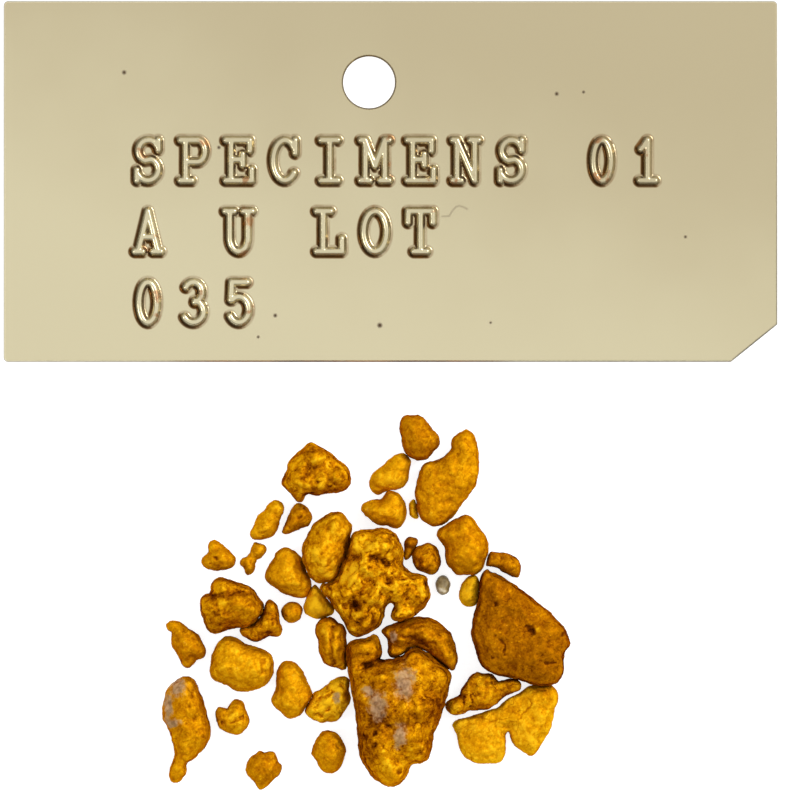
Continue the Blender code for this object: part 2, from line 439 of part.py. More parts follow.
def dome(deep, shoulder):
    """A quarter round: 0 at the edge, and 1 from a shoulder's width inwards."""
    share = np.clip(deep / shoulder, 0, 1)
    return np.sqrt(1 - (1 - share)**2)


def nugget_mesh(nugget, loop, scale):
    """A nugget's closed mesh: a lumpy upper side and a flat-bottomed under side that meet at its rim."""
    middle = loop.mean(0)
    area = abs(np.cross(loop - middle, np.roll(loop, -1, 0) - middle).sum()) / 2
    step = GRID_STEP_SHARE * math.sqrt(area) + GRID_LEAST_STEP
    thickness = nugget.thickness * scale
    shoulder = nugget.shoulder * scale
    rim = RIM_SHARE * thickness
    edge = inner_row(loop, EDGE_INSET * shoulder)
    body = hexagonal_grid(loop, step, EDGE_INSET * shoulder + GRID_CLEARANCE * step)
    foot = inner_row(loop, FOOT_INSET * shoulder)
    count = len(loop)
    outline = np.arange(count)

    upper = np.vstack([loop, edge, body])
    upper_faces = triangulate(upper, [outline])
    deep, _ = depth(upper, loop)
    deep[:count] = 0
    seed = lump_seed(nugget.name)
    lumps = np.array([noise.noise(Vector((*(p / LUMP_SIZE), seed))) for p in upper])
    rise = (thickness - rim) * dome(deep, shoulder)
    top = rim + rise * (1 + nugget.lumps * lumps)

    lower = np.vstack([loop, foot])
    lower_faces = triangulate(lower, [outline])
    flat = np.where(np.arange(len(lower)) < count, rim, 0)

    points = [(*(p - middle), z) for p, z in zip(upper, top)]
    points += [(*(p - middle), z) for p, z in zip(lower[count:], flat[count:])]
    shift = len(upper) - count
    faces = upper_faces + [[i if i < count else i + shift for i in f][::-1] for f in lower_faces]
    return points, faces, middle


def lump_seed(name):
    """A fixed number for each name, so that no two nuggets have the same lumps."""
    total = sum((n + SEED_WEIGHT) * ord(letter) for n, letter in enumerate(name))
    return total % SEED_CYCLE * SEED_SPACING


# ---------------------------------------------------------------- the tag


def arc(middle_u, middle_v, radius_u, radius_v, start, end):
    """A stretch of an ellipse in a character's stroke box, from one angle to another in degrees."""
    turn = np.radians(np.linspace(start, end, 2 + round(abs(end - start) / ARC_TURN_STEP)))
    return [(middle_u + radius_u * math.cos(a), middle_v + radius_v * math.sin(a)) for a in turn]


# Each character's strokes. u runs from -1 at the left of its box to 1, and v from 0 at its foot to 1.
STROKES = {
    "A": (((-0.75, 0), (0, 1), (0.75, 0)), ((-0.45, 0.36), (0.45, 0.36)), ((-1, 0), (-0.4, 0)),
          ((0.4, 0), (1, 0))),
    "C": ([(0.85, 0.68), (0.85, 1)], arc(0.05, 0.5, 0.9, 0.5, 38, 322)),
    "E": (((-0.6, 0), (-0.6, 1)), ((-1, 1), (0.85, 1), (0.85, 0.74)), ((-1, 0), (1, 0), (1, 0.28)),
          ((-0.6, 0.52), (0.3, 0.52)), ((0.3, 0.38), (0.3, 0.66))),
    "I": (((0, 0), (0, 1)), ((-0.65, 0), (0.65, 0)), ((-0.65, 1), (0.65, 1))),
    "L": (((-0.5, 0), (-0.5, 1)), ((-1, 1), (0.1, 1)), ((-1, 0), (0.95, 0), (0.95, 0.32))),
    "M": (((-0.75, 0), (-0.75, 1), (0, 0.36), (0.75, 1), (0.75, 0)), ((-1.1, 0), (-0.4, 0)),
          ((0.4, 0), (1.1, 0)), ((-1.1, 1), (-0.75, 1)), ((0.75, 1), (1.1, 1))),
    "N": (((-0.68, 0), (-0.68, 1), (0.68, 0), (0.68, 1)), ((-1, 0), (-0.35, 0)), ((-1, 1), (-0.68, 1)),
          ((0.35, 1), (1, 1))),
    "O": (arc(0, 0.5, 0.88, 0.5, 0, 360),),
    "P": (((-0.6, 0), (-0.6, 1)), ((-1, 0), (-0.1, 0)), [(-1, 1)] + arc(0.3, 0.73, 0.6, 0.27, 90, -90)
          + [(-0.6, 0.46)]),
    "S": ([(0.8, 1), (0.8, 0.76)], [(-0.84, 0), (-0.84, 0.26)],
          arc(0.02, 0.74, 0.76, 0.26, 28, 250) + arc(-0.02, 0.27, 0.82, 0.27, 70, -150)),
    "T": (((0, 0), (0, 1)), ((-0.95, 0.72), (-0.95, 1), (0.95, 1), (0.95, 0.72)), ((-0.5, 0), (0.5, 0))),
    "U": ([(-0.7, 1)] + arc(0, 0.34, 0.7, 0.34, 180, 360) + [(0.7, 1)], ((-1.05, 1), (-0.35, 1)),
          ((0.35, 1), (1.05, 1))),
    "0": (arc(0, 0.5, 0.68, 0.5, 0, 360),),
    "1": (((-0.5, 0.78), (0, 1), (0, 0)), ((-0.6, 0), (0.6, 0))),
    "3": (arc(0, 0.75, 0.66, 0.25, 150, -80) + arc(0, 0.27, 0.78, 0.27, 80, -150),),
    "5": ([(0.65, 1), (-0.55, 1), (-0.62, 0.56)] + arc(0, 0.32, 0.76, 0.32, 130, -150),),
}


def text_strokes(middle_y):
    """Every stroke of the tag's text, as open rows of points in the layout's plane."""
    longest = max(len(line) for line in TAG_TEXT)
    first_x = TEXT_FROM_MIDDLE - CHARACTER_PITCH * (longest - 1) / 2
    rows = []
    for n, line in enumerate(TAG_TEXT):
        foot = middle_y + LINE_PITCH * ((len(TAG_TEXT) - 1) / 2 - n) - STROKE_BOX_HEIGHT / 2
        for column, letter in enumerate(line):
            for stroke in STROKES.get(letter, ()):
                u, v = np.array(stroke, float).T
                x = first_x + column * CHARACTER_PITCH + u * STROKE_BOX_WIDTH / 2
                rows.append(np.stack([x, foot + v * STROKE_BOX_HEIGHT], 1))
    return rows


def stations(row, step):
    """Points along an open row, its own corners among them, with the unit vector across the row at each."""
    spots, across = [], []
    for a, b in zip(row, row[1:]):
        length = np.linalg.norm(b - a)
        side = np.array([a[1] - b[1], b[0] - a[0]]) / length
        for t in np.linspace(0, 1, 1 + max(1, math.ceil(length / step))):
            spots.append(a + (b - a) * t)
            across.append(side)
    return np.array(spots), np.array(across)


def tag_outline(left, right, bottom, top):
    """The plate's edge: three small round corners, and one that is clipped off."""
    edge = []
    r = CORNER_RADIUS
    for x, y, start in ((right - r, top - r, 0), (left + r, top - r, 90), (left + r, bottom + r, 180)):
        for turn in np.radians(np.linspace(start, start + 90, CORNER_POINTS)):
            edge.append((x + r * math.cos(turn), y + r * math.sin(turn)))
    edge.append((right - CLIPPED_CORNER_WIDTH, bottom))
    edge.append((right, bottom + CLIPPED_CORNER_HEIGHT))
    return np.array(edge)


def tag_mesh(left, bottom):
    """The tag: a thin sheet, pushed up along the strokes of its text, so that its back is hollow there."""
    right, top = left + TAG_WIDTH, bottom + TAG_HEIGHT
    hole_y = top - HOLE_FROM_TOP
    edge = tag_outline(left, right, bottom, top)
    turns = np.radians(np.arange(0, 360, HOLE_TURN_STEP))
    hole = np.stack([HOLE_FROM_MIDDLE + HOLE_DIAMETER / 2 * np.cos(turns),
                     hole_y + HOLE_DIAMETER / 2 * np.sin(turns)], 1)
    text_y = (hole_y - HOLE_DIAMETER / 2 + bottom) / 2 + TEXT_FROM_CENTRE
    rows = text_strokes(text_y)
    starts = np.vstack([row[:-1] for row in rows])
    ends = np.vstack([row[1:] for row in rows])

    crowding = STROKE_CROWDING * STROKE_BASE
    crest = thinned(np.vstack([stations(row, STROKE_STEP)[0] for row in rows]), crowding)
    feet = []
    for row in rows:
        spots, across = stations(row, STROKE_STEP)
        feet += [spots + across * STROKE_BASE, spots - across * STROKE_BASE]
        for tip, behind in ((row[0], row[1]), (row[-1], row[-2])):
            feet.append([tip + (tip - behind) / np.linalg.norm(tip - behind) * STROKE_BASE])
    feet = np.vstack(feet)
    feet = feet[nearest(feet, starts, ends)[1] > STROKE_CLEARANCE * STROKE_BASE]
    relief_points = thinned(np.vstack([crest, feet]), crowding)

    points = np.vstack([edge, hole, relief_points])
    on_edge, on_hole = np.arange(len(edge)), len(edge) + np.arange(len(hole))
    faces = triangulate(points, [on_edge, on_hole])
    away = nearest(points, starts, ends)[1]
    lift = RELIEF * np.clip((STROKE_BASE - away) / (STROKE_BASE - STROKE_CREST), 0, 1)

    count = len(points)
    vertices = [(*p, TAG_THICKNESS + z) for p, z in zip(points, lift)]
    vertices += [(*p, z) for p, z in zip(points, lift)]
    sheet = faces + [[i + count for i in f][::-1] for f in faces]
    for loop in (on_edge, on_hole):
        sheet += [[a, b, b + count, a + count] for a, b in zip(loop.tolist(), np.roll(loop, -1).tolist())]
    return vertices, sheet


# ---------------------------------------------------------------- objects


def material(finish):
    """The Principled material of a finish, made once."""
    found = bpy.data.materials.get(finish)
    if found:
        return found
    colour, metallic, roughness = FINISHES[finish]
    made = bpy.data.materials.new(finish)
    made.use_nodes = True
    made.diffuse_color = (*colour, 1)
    shader = made.node_tree.nodes["Principled BSDF"]
    shader.inputs["Base Color"].default_value = (*colour, 1)
    shader.inputs["Metallic"].default_value = metallic
    shader.inputs["Roughness"].default_value = roughness
    return made


def add_object(name, finish, points, faces, place=(0, 0)):
    """One named object from points in millimetres about its own origin, which stands on the table."""
    mesh = bpy.data.meshes.new(name)
    mesh.from_pydata([Vector(p) * MM for p in points], [], faces)
    body = bmesh.new()
    body.from_mesh(mesh)
    bmesh.ops.triangulate(body, faces=body.faces)
    bmesh.ops.recalc_face_normals(body, faces=body.faces)
    body.to_mesh(mesh)
    body.free()
    mesh.shade_smooth()
    mesh.set_sharp_from_angle(angle=SHARP_ANGLE)
    mesh.materials.append(material(finish))
    made = bpy.data.objects.new(name, mesh)
    made.location = (place[0] * MM, place[1] * MM, 0)
    bpy.context.scene.collection.objects.link(made)
    return made


def add_tag(bottom):
    points, faces = tag_mesh(-TAG_WIDTH / 2, bottom)
    middle = (0, bottom + TAG_HEIGHT / 2)
    points = [(x - middle[0], y - middle[1], z) for x, y, z in points]
    return add_object("tag_plate", "tag_metal", points, faces, middle)


def add_nuggets(top):
    """All the loose pieces, with the heap's highest point in the layout at top."""
    scale = HEAP_WIDTH / (LAYOUT_RIGHT - LAYOUT_LEFT)
    placed = []
    for nugget in NUGGETS:
        corners = np.array(nugget.outline) - (0, LAYOUT_TOP)
        loop = smooth_loop(corners * scale + (0, top), OUTLINE_STEP * scale)
        loop = even_steps(give_way(loop, placed, NUGGET_GAP), OUTLINE_STEP * scale)
        placed.append(loop)
        points, faces, middle = nugget_mesh(nugget, loop, scale)
        add_object(nugget.name, nugget.finish, points, faces, middle)


def main():
    for old in list(bpy.data.objects):
        bpy.data.objects.remove(old)
    heap_length = (LAYOUT_TOP - LAYOUT_BOTTOM) * HEAP_WIDTH / (LAYOUT_RIGHT - LAYOUT_LEFT)
    whole_length = TAG_HEIGHT + HEAP_FROM_TAG + heap_length
    tag_bottom = whole_length / 2 - TAG_HEIGHT
    add_tag(tag_bottom)
    add_nuggets(tag_bottom - HEAP_FROM_TAG)


main()
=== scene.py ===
"""Gold sample and its embossed tag: fine surfaces, lamps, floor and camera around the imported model.

Lengths in the tables below are millimetres, and a place on a nugget is measured from the middle of its box,
x to the right and y away from the viewer. Finished pieces are in metres and sit at the origin.
"""

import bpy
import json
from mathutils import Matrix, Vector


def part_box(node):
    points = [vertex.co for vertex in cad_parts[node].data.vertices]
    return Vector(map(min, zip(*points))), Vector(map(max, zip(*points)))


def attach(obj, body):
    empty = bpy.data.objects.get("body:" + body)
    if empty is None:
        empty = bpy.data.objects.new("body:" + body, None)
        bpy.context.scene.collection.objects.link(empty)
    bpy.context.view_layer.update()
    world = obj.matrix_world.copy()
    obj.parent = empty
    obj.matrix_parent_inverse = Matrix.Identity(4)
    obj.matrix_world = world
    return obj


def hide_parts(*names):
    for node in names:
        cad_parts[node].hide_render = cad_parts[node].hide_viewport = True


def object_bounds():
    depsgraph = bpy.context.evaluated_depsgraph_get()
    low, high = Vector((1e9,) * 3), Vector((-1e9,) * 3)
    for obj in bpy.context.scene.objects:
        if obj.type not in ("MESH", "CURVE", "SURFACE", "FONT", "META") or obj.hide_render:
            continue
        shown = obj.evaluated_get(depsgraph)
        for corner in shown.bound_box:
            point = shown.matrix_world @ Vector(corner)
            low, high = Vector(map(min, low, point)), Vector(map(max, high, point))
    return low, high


bl_info = {
    "name": "Gold Sample and Tag",
    "version": (1, 0, 0),
    "blender": (4, 5, 0),
    "location": "View3D > Sidebar > Gold Sample",
    "description": "Makes natural gold nuggets, their embossed metal tag and the table that they lie on",
    "category": "Add Mesh",
}

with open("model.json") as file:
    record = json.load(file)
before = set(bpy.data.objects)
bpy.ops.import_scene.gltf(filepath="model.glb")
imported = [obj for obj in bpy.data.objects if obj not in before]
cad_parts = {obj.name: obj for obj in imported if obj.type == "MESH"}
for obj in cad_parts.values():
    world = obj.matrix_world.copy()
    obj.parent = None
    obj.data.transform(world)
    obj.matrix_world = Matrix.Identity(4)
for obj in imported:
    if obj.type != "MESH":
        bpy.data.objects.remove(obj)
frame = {"nodes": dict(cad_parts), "record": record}

import json
import math
from typing import NamedTuple

import bmesh
import bpy
import numpy as np
from bpy.props import FloatProperty, FloatVectorProperty, IntProperty, PointerProperty
from mathutils import Vector
from mathutils.geometry import delaunay_2d_cdt

MM = 0.001
CAD_BOX = [[float(x) for x in corner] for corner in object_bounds()]
SLOTS = {row["node"]: row["material_slot"] for row in frame["record"]["subparts"]}
BODIES = {node: body for body, nodes in frame["record"]["behaviour"]["bodies"].items() for node in nodes}

# The triangulation's code for keeping only what lies inside the edges that it is given.
INSIDE_ONLY = 1

# Points of a plain solid that lie this close together, in millimetres, are one point.
MERGE_DISTANCE = 0.0001

# How far a nugget's skin may stand above its plain solid, in millimetres.
SKIN_ABOVE_SOLID = 0.06

# How far apart two nuggets' seeds are.
SEED_STEP = 7.3

# A skin's relief: its height over a little and over a much smoothed copy, each with its smoothing passes and
# its weight, and the range that the sum is kept in.
FINE_RELIEF = (4, 7.0)
BROAD_RELIEF = (40, 1.8)
RELIEF_RANGE = (-0.24, 0.2)


# ---------------------------------------------------------------- settings


def colour_property(name, description, red, green, blue):
    """A colour that the user may change, given as the usual 0 to 255 display values."""
    linear = [display_to_linear(v / 255) for v in (red, green, blue)]
    return FloatVectorProperty(name=name, description=description, subtype="COLOR", size=3, min=0, max=1,
                               default=linear)


def display_to_linear(value):
    """A display value from 0 to 1 as the linear value that a material takes."""
    return value / 12.92 if value <= 0.04045 else ((value + 0.055) / 1.055) ** 2.4


def length_property(name, description, millimetres):
    """A length that the user may change, with its default in millimetres."""
    return FloatProperty(name=name, description=description, default=millimetres * MM, min=0, unit="LENGTH",
                         precision=6)


class NuggetSettings(bpy.types.PropertyGroup):
    mesh_size: length_property("Mesh Size", "Edge length of a nugget's fine mesh", 0.06)
    rounding: IntProperty(name="Rounding", description="Smoothing passes over the plain solid", default=4,
                          min=0)
    swell: length_property("Swell", "How far the skin stands off the rounded solid", 0.085)
    lump_size: length_property("Lump Size", "Size of the broad lumps", 1.1)
    crumple_size: length_property("Crumple Size", "Size of the folds in crumpled gold", 0.75)
    grain_size: length_property("Grain Size", "Size of the fine grain on the gold", 0.17)
    grain_height: length_property("Grain Height", "Height of the fine grain on the gold", 0.03)
    # Crevice and Deep are mostly painted shade: the finish reaches them in pits and grooves, on steep sides
    # and at the outline. Bright is the worn high spots, with painted highlight added there.
    crevice: colour_property("Crevice", "Iron-stained gold deep in a crevice", 74, 30, 2)
    deep: colour_property("Deep", "Gold in hollows and on the flanks", 131, 68, 2)
    amber: colour_property("Amber", "Gold on most of a nugget", 187, 119, 4)
    bright: colour_property("Bright", "Gold on the worn high spots", 219, 157, 8)
    # A painted highlight: the colour of glints on facets.
    glint_highlight: colour_property("Fleck", "Gold where a facet glints", 240, 191, 26)
    quartz: colour_property("Quartz", "Smoky, warm grey quartz in a nugget", 154, 125, 95)
    roughness: FloatProperty(name="Roughness", description="Roughness of worn gold", default=0.68, min=0,
                             max=1, subtype="FACTOR")
    stone_dark: colour_property("Dark Stone", "The stone grain's olive brown", 102, 84, 42)
    stone_grey: colour_property("Grey Stone", "The stone grain's grey", 160, 142, 98)
    stone_pale: colour_property("Pale Stone", "The stone grain's pale patch", 216, 206, 178)


class TagSettings(bpy.types.PropertyGroup):
    metal: colour_property("Metal", "Pale gold lacquer on the sheet", 214, 204, 169)
    # The sheet's colour toward one corner, where it is drawn darker.
    darker_corner: colour_property("Tarnish", "The lacquer where it has darkened, toward one corner", 194, 181, 146)
    # Stain is partly stain and partly painted shade on the characters' side away from the window. Shadow is
    # painted shade there.
    stain: colour_property("Stain", "Brown lacquer that gathers round the characters", 122, 82, 30)
    rust: colour_property("Rust", "Rust in the characters", 152, 88, 26)
    shadow: colour_property("Shadow", "Nearly black lacquer on the shaded side of the characters", 58, 36, 12)
    cut_edge: colour_property("Cut Edge", "Bare metal along the sheared edge", 150, 146, 140)
    bore: colour_property("Bore", "Brown metal round the hole", 96, 70, 38)
    speck: colour_property("Speck", "Dark specks and scratches", 70, 48, 24)
    crest: length_property("Crest", "Half the flat top of an embossed stroke", 0.05)
    foot: length_property("Foot", "Half the width of an embossed stroke at its foot", 0.34)
    relief: length_property("Relief", "Height of an embossed stroke", 0.3)
    draw_reach: length_property("Draw Reach", "How far from a stroke the sheet is drawn up", 0.75)
    draw_height: length_property("Draw Height", "How high the sheet is drawn up at a stroke", 0.05)
    roughness: FloatProperty(name="Roughness", description="Roughness of the lacquer", default=0.2, min=0,
                             max=1, subtype="FACTOR")


class StageSettings(bpy.types.PropertyGroup):
    floor: colour_property("Floor", "The table", 190, 190, 190)
    camera_height: length_property("Camera Height", "Height of the camera over the table", 400)
    view_height: length_property("View Height", "Height of the table that the camera takes in", 44.8)
    view_right: length_property("View Right", "How far right of the origin the view is centred", 0.336)
    view_near: length_property("View Near", "How far in front of the origin the view is centred", 0.252)
    sky: FloatProperty(name="Sky", description="Brightness of the studio overhead", default=1.0, min=0)
    horizon: FloatProperty(name="Horizon", description="Brightness of the studio at table height",
                           default=0.3, min=0)
    window: FloatProperty(name="Window", description="Brightness that a round window adds", default=3.0,
                          min=0)


# ---------------------------------------------------------------- node trees


class Wire:
    """A value that runs between nodes. Arithmetic on it adds Math nodes."""

    def __init__(self, sheet, socket):
        self.sheet = sheet
        self.socket = socket

    def maths(self, operation, *values):
        """A Math node's result for these values."""
        return self.sheet.add("ShaderNodeMath", {"operation": operation}, dict(enumerate(values)))

    def __add__(self, other):
        return self.maths("ADD", self, other)

    __radd__ = __add__

    def __sub__(self, other):
        return self.maths("SUBTRACT", self, other)

    def __rsub__(self, other):
        return self.maths("SUBTRACT", other, self)

    def __mul__(self, other):
        return self.maths("MULTIPLY", self, other)

    __rmul__ = __mul__

    def __rtruediv__(self, other):
        return self.maths("DIVIDE", other, self)

    def __abs__(self):
        return self.maths("ABSOLUTE", self)

    def at_most(self, other):
        """The smaller of this value and another."""
        return self.maths("MINIMUM", self, other)

    def at_least(self, other):
        """The larger of this value and another."""
        return self.maths("MAXIMUM", self, other)

    def fade(self, low, high):
        """0 at low and 1 at high, with a smooth way between them. Low may be the larger."""
        return self.sheet.add("ShaderNodeMapRange", {"interpolation_type": "SMOOTHSTEP"},
                              {"Value": self, "From Min": low, "From Max": high})


class Sheet:
    """A node tree, and the one way of adding a node to it."""

    def __init__(self, tree):
        self.tree = tree

    def add(self, kind, settings=None, values=None, output=0):
        """Adds a node: its settings, then its sockets' values or links. Gives one of its outputs."""
        node = self.tree.nodes.new(kind)
        for name, value in (settings or {}).items():
            if name == "stops":
                set_stops(node.color_ramp, value)
            else:
                setattr(node, name, value)
        for name, value in (values or {}).items():
            if isinstance(value, Wire):
                self.tree.links.new(value.socket, node.inputs[name])
            else:
                node.inputs[name].default_value = value
        return Wire(self, node.outputs[output])

    def vector(self, operation, first, second, output=0):
        """A Vector Math node with two vectors."""
        return self.add("ShaderNodeVectorMath", {"operation": operation}, {0: first, 1: second}, output)

    def scaled(self, vector, scale):
        """A vector times a number."""
        return self.add("ShaderNodeVectorMath", {"operation": "SCALE"}, {0: vector, "Scale": scale})

    def mix(self, share, first, second):
        """A colour between two colours."""
        return self.add("ShaderNodeMix", {"data_type": "RGBA"}, {0: share, 6: first, 7: second}, 2)

    def noise(self, where, size, detail, seed=0.0):
        """Noise from 0 to 1 whose features are about this size."""
        return self.add("ShaderNodeTexNoise", {"noise_dimensions": "4D"},
                        {"Vector": where, "W": seed, "Scale": 1 / size, "Detail": detail})

    def spots(self, where, spacing, seed):
        """1 in small round spots that lie about this far apart, and 0 between them."""
        away = self.add("ShaderNodeTexVoronoi", {"voronoi_dimensions": "4D"},
                        {"Vector": where, "W": seed, "Scale": 1 / spacing}, "Distance")
        return away.fade(0.36, 0.2)


def set_stops(ramp, stops):
    """Gives a colour ramp these places and colours."""
    while len(ramp.elements) < len(stops):
        ramp.elements.new(0.5)
    for element, (place, colour) in zip(ramp.elements, stops):
        element.position = place
        element.color = (*colour, 1)


# ---------------------------------------------------------------- finishes


def new_finish(name):
    """An empty Principled material, its node sheet and its shader node."""
    made = bpy.data.materials.new(name)
    made.use_nodes = True
    tree = made.node_tree
    shader = tree.nodes["Principled BSDF"]
    return made, Sheet(tree), shader


def plug(sheet, shader, **values):
    """Sets or links the shader's sockets, whose names have _ for a space here."""
    for name, value in values.items():
        socket = shader.inputs[name.replace("_", " ")]
        if isinstance(value, Wire):
            sheet.tree.links.new(value.socket, socket)
        else:
            socket.default_value = value


def place_in_mm(sheet):
    """Where a point of the surface is, in millimetres."""
    return sheet.scaled(sheet.add("ShaderNodeTexCoord", output="Object"), 1 / MM)


def painted(sheet, name):
    """A number that a mesh carries on its points."""
    return sheet.add("ShaderNodeAttribute", {"attribute_name": name}, output="Fac")


def bump(sheet, height, distance, strength=1.0):
    """A normal that a height's unevenness tilts, at a distance in millimetres."""
    return sheet.add("ShaderNodeBump", {}, {
        "Strength": strength, "Distance": distance * MM, "Height": height})


def gold_finish(name, grain, seed):
    """Natural gold: bright on its worn high spots, where painted highlights are added too, amber over most of
    it, and darker in its hollows and on its steep sides as painted shade.
    """
    s = bpy.context.scene.gold_nuggets
    made, sheet, shader = new_finish(name)
    where = place_in_mm(sheet)
    patches = sheet.noise(where, size=1.1, detail=3, seed=seed)
    mottle = sheet.noise(where, size=0.34, detail=4, seed=seed + 3)
    grit = sheet.noise(where, size=0.11, detail=3, seed=seed + 6)
    fold = sheet.noise(where, size=0.9, detail=3, seed=seed + 15)
    wrinkle = abs(fold - 0.5).fade(0.02, 0.0) * patches.fade(0.35, 0.6)
    pocks = sheet.spots(where, spacing=0.42, seed=seed) * fold.fade(0.42, 0.55)
    # Small bright dots: painted glints.
    glint_dots = sheet.spots(where, spacing=0.36, seed=seed + 5) * fold.fade(0.56, 0.44)
    relief = painted(sheet, "relief")
    # Painted shade in the pits and grooves.
    hollow = painted(sheet, "hollow")
    # Steepness: it gives painted shade on the steep sides, and a dark painted outline on the steepest walls.
    flank = painted(sheet, "flank")
    wall_shade = flank.fade(0.74, 0.98)
    quartz = painted(sheet, "quartz")
    tint = painted(sheet, "tint")
    unrest = painted(sheet, "unrest")

    # How bright the gold is: its own tone and wear, plus painted highlights and painted shade. Each weight
    # says how far its pattern moves the nugget's own tint.
    # Painted glints: small bright spots for light caught by facets.
    glints = grit.fade(0.62, 0.7) * mottle.fade(0.45, 0.6) * 0.25
    uneven = 1.1 * (patches - 0.5) + 1.2 * (mottle - 0.5) - 0.3 * wrinkle - 0.28 * pocks + 0.25 * glint_dots
    grainy = (0.3 + 0.5 * unrest) * grain * (grit - 0.5)
    worn = tint + unrest * uneven + grainy + (0.45 + 0.55 * unrest) * relief + glints
    # Painted shade: darker in the pits and grooves, on the steep sides, and darkest at the outline.
    worn = worn - 0.2 * hollow - 0.06 * flank - 0.45 * wall_shade
    gold = sheet.add("ShaderNodeValToRGB", {"stops": [
        (0.0, s.crevice), (0.25, s.deep), (0.5, s.amber), (0.76, s.bright), (1.0, s.glint_highlight)]}, {0: worn})

    # Quartz shows where its painted patch and some noise together are strong.
    milky = sheet.noise(where, size=0.28, detail=4, seed=seed + 9)
    stain = sheet.noise(where, size=0.6, detail=4, seed=seed + 12)
    pale = tuple(min(1, v * 1.5) for v in s.quartz)
    dirty = tuple(v * 0.55 for v in s.quartz)
    stone = sheet.mix(milky.fade(0.3, 0.7), (*dirty, 1), (*pale, 1))
    spread = 1.4 * (mottle - 0.5) + 0.8 * (stain - 0.5) + 0.8 * (grit - 0.5)
    is_stone = (quartz + spread).fade(0.3, 1.0) * 0.84

    bumps = mottle + 0.8 * grit - 0.8 * wrinkle - 0.8 * pocks
    plug(sheet, shader, Base_Color=sheet.mix(is_stone, gold, stone), Metallic=1 - is_stone,
         Roughness=s.roughness + 0.2 * (patches - 0.5), Specular_Tint=(*s.deep, 1),
         Normal=bump(sheet, bumps, distance=0.012 * (1 + grain), strength=0.7))
    return made


def stone_finish():
    """A smooth water-worn grain of stone, olive grey with a pale patch."""
    s = bpy.context.scene.gold_nuggets
    made, sheet, shader = new_finish("stone_surface")
    where = place_in_mm(sheet)
    cloud = sheet.noise(where, size=0.5, detail=3)
    grit = sheet.noise(where, size=0.1, detail=3)
    # Darker on the steep sides, as painted shade.
    colour = sheet.add("ShaderNodeValToRGB", {"stops": [
        (0.3, s.stone_dark), (0.48, s.stone_grey), (0.62, s.stone_pale)]},
        {0: cloud - 0.15 * painted(sheet, "flank")})
    plug(sheet, shader, Base_Color=colour, Roughness=0.45, Normal=bump(sheet, grit, distance=0.01))
    return made


def tag_finish():
    """Lacquered sheet metal: satin and pale, darker toward the top right, brown round each stroke's foot as
    stain and painted shade, near black as painted shade on the side away from the window, with rust and tiny
    specks.
    """
    s = bpy.context.scene.gold_tag
    made, sheet, shader = new_finish("tag_lacquer")
    where = place_in_mm(sheet)
    away = painted(sheet, "stroke_away")
    lee = painted(sheet, "lee")
    speck = painted(sheet, "speck")
    cloud = sheet.noise(where, size=9.0, detail=3)
    across = sheet.vector("DOT_PRODUCT", where, (0.55 / TAG_WIDTH, 0.9 / TAG_HEIGHT, 0), "Value")
    smear = sheet.noise(where, size=0.8, detail=4, seed=2.0)
    grit = sheet.noise(where, size=0.12, detail=3, seed=5.0)
    # Darker toward the top right, in cloudy patches.
    base = sheet.mix((across + 0.5 * (cloud - 0.5)).fade(0.1, 1.0), (*s.metal, 1), (*s.darker_corner, 1))
    # Brown round each stroke's foot: partly stain, partly painted shade that is stronger on the side away
    # from the window. Shaded is painted shade, near black.
    at_foot = away.fade(0.14, 0.26) * away.fade(0.44, 0.32)
    brown = at_foot * (0.3 + 0.3 * smear.fade(0.4, 0.7) + 0.6 * lee.fade(-0.05, 0.2))
    rusty = away.fade(0.4, 0.2) * smear.fade(0.6, 0.7)
    shaded = away.fade(0.1, 0.2) * away.fade(0.42, 0.3) * lee.fade(0.02, 0.24) * 0.85
    colour = base
    for share, coat in ((brown.at_most(1), s.stain), (shaded, s.shadow), (rusty * 0.7, s.rust),
                        (painted(sheet, "cut") * 0.9, s.cut_edge), (painted(sheet, "bore") * 0.9, s.bore),
                        (speck, s.speck)):
        colour = sheet.mix(share, colour, (*coat, 1))
    plug(sheet, shader, Base_Color=colour, Metallic=0.95 - 0.6 * speck,
         Roughness=s.roughness + 0.12 * (cloud - 0.5) + 0.2 * rusty, Normal=bump(sheet, grit, distance=0.003))
    return made


# ---------------------------------------------------------------- nuggets


class Pit(NamedTuple):
    """A round pit pressed into the top, and painted darker as painted shade."""

    x: float
    y: float
    radius: float
    depth: float


class Dome(NamedTuple):
    """A rounded lobe that stands up, or sinks where its height is negative."""

    x: float
    y: float
    radius: float
    height: float


class Groove(NamedTuple):
    """A crevice along a line of places, pressed in and painted darker as painted shade."""

    width: float
    depth: float
    places: tuple


class Patch(NamedTuple):
    """An oval patch of quartz."""

    x: float
    y: float
    half_width: float
    half_height: float


class Glow(NamedTuple):
    """A place that is painted brighter than the rest, or darker where its amount is negative: partly the
    gold's own tone, partly painted highlight and painted shade.
    """

    x: float
    y: float
    radius: float
    amount: float


class Look(NamedTuple):
    """How one nugget differs: its tint from dark to bright, its lumps and crumples, and its top's marks."""

    tint: float
    lumps: float = 0.12
    crumple: float = 0.06
    marks: tuple = ()


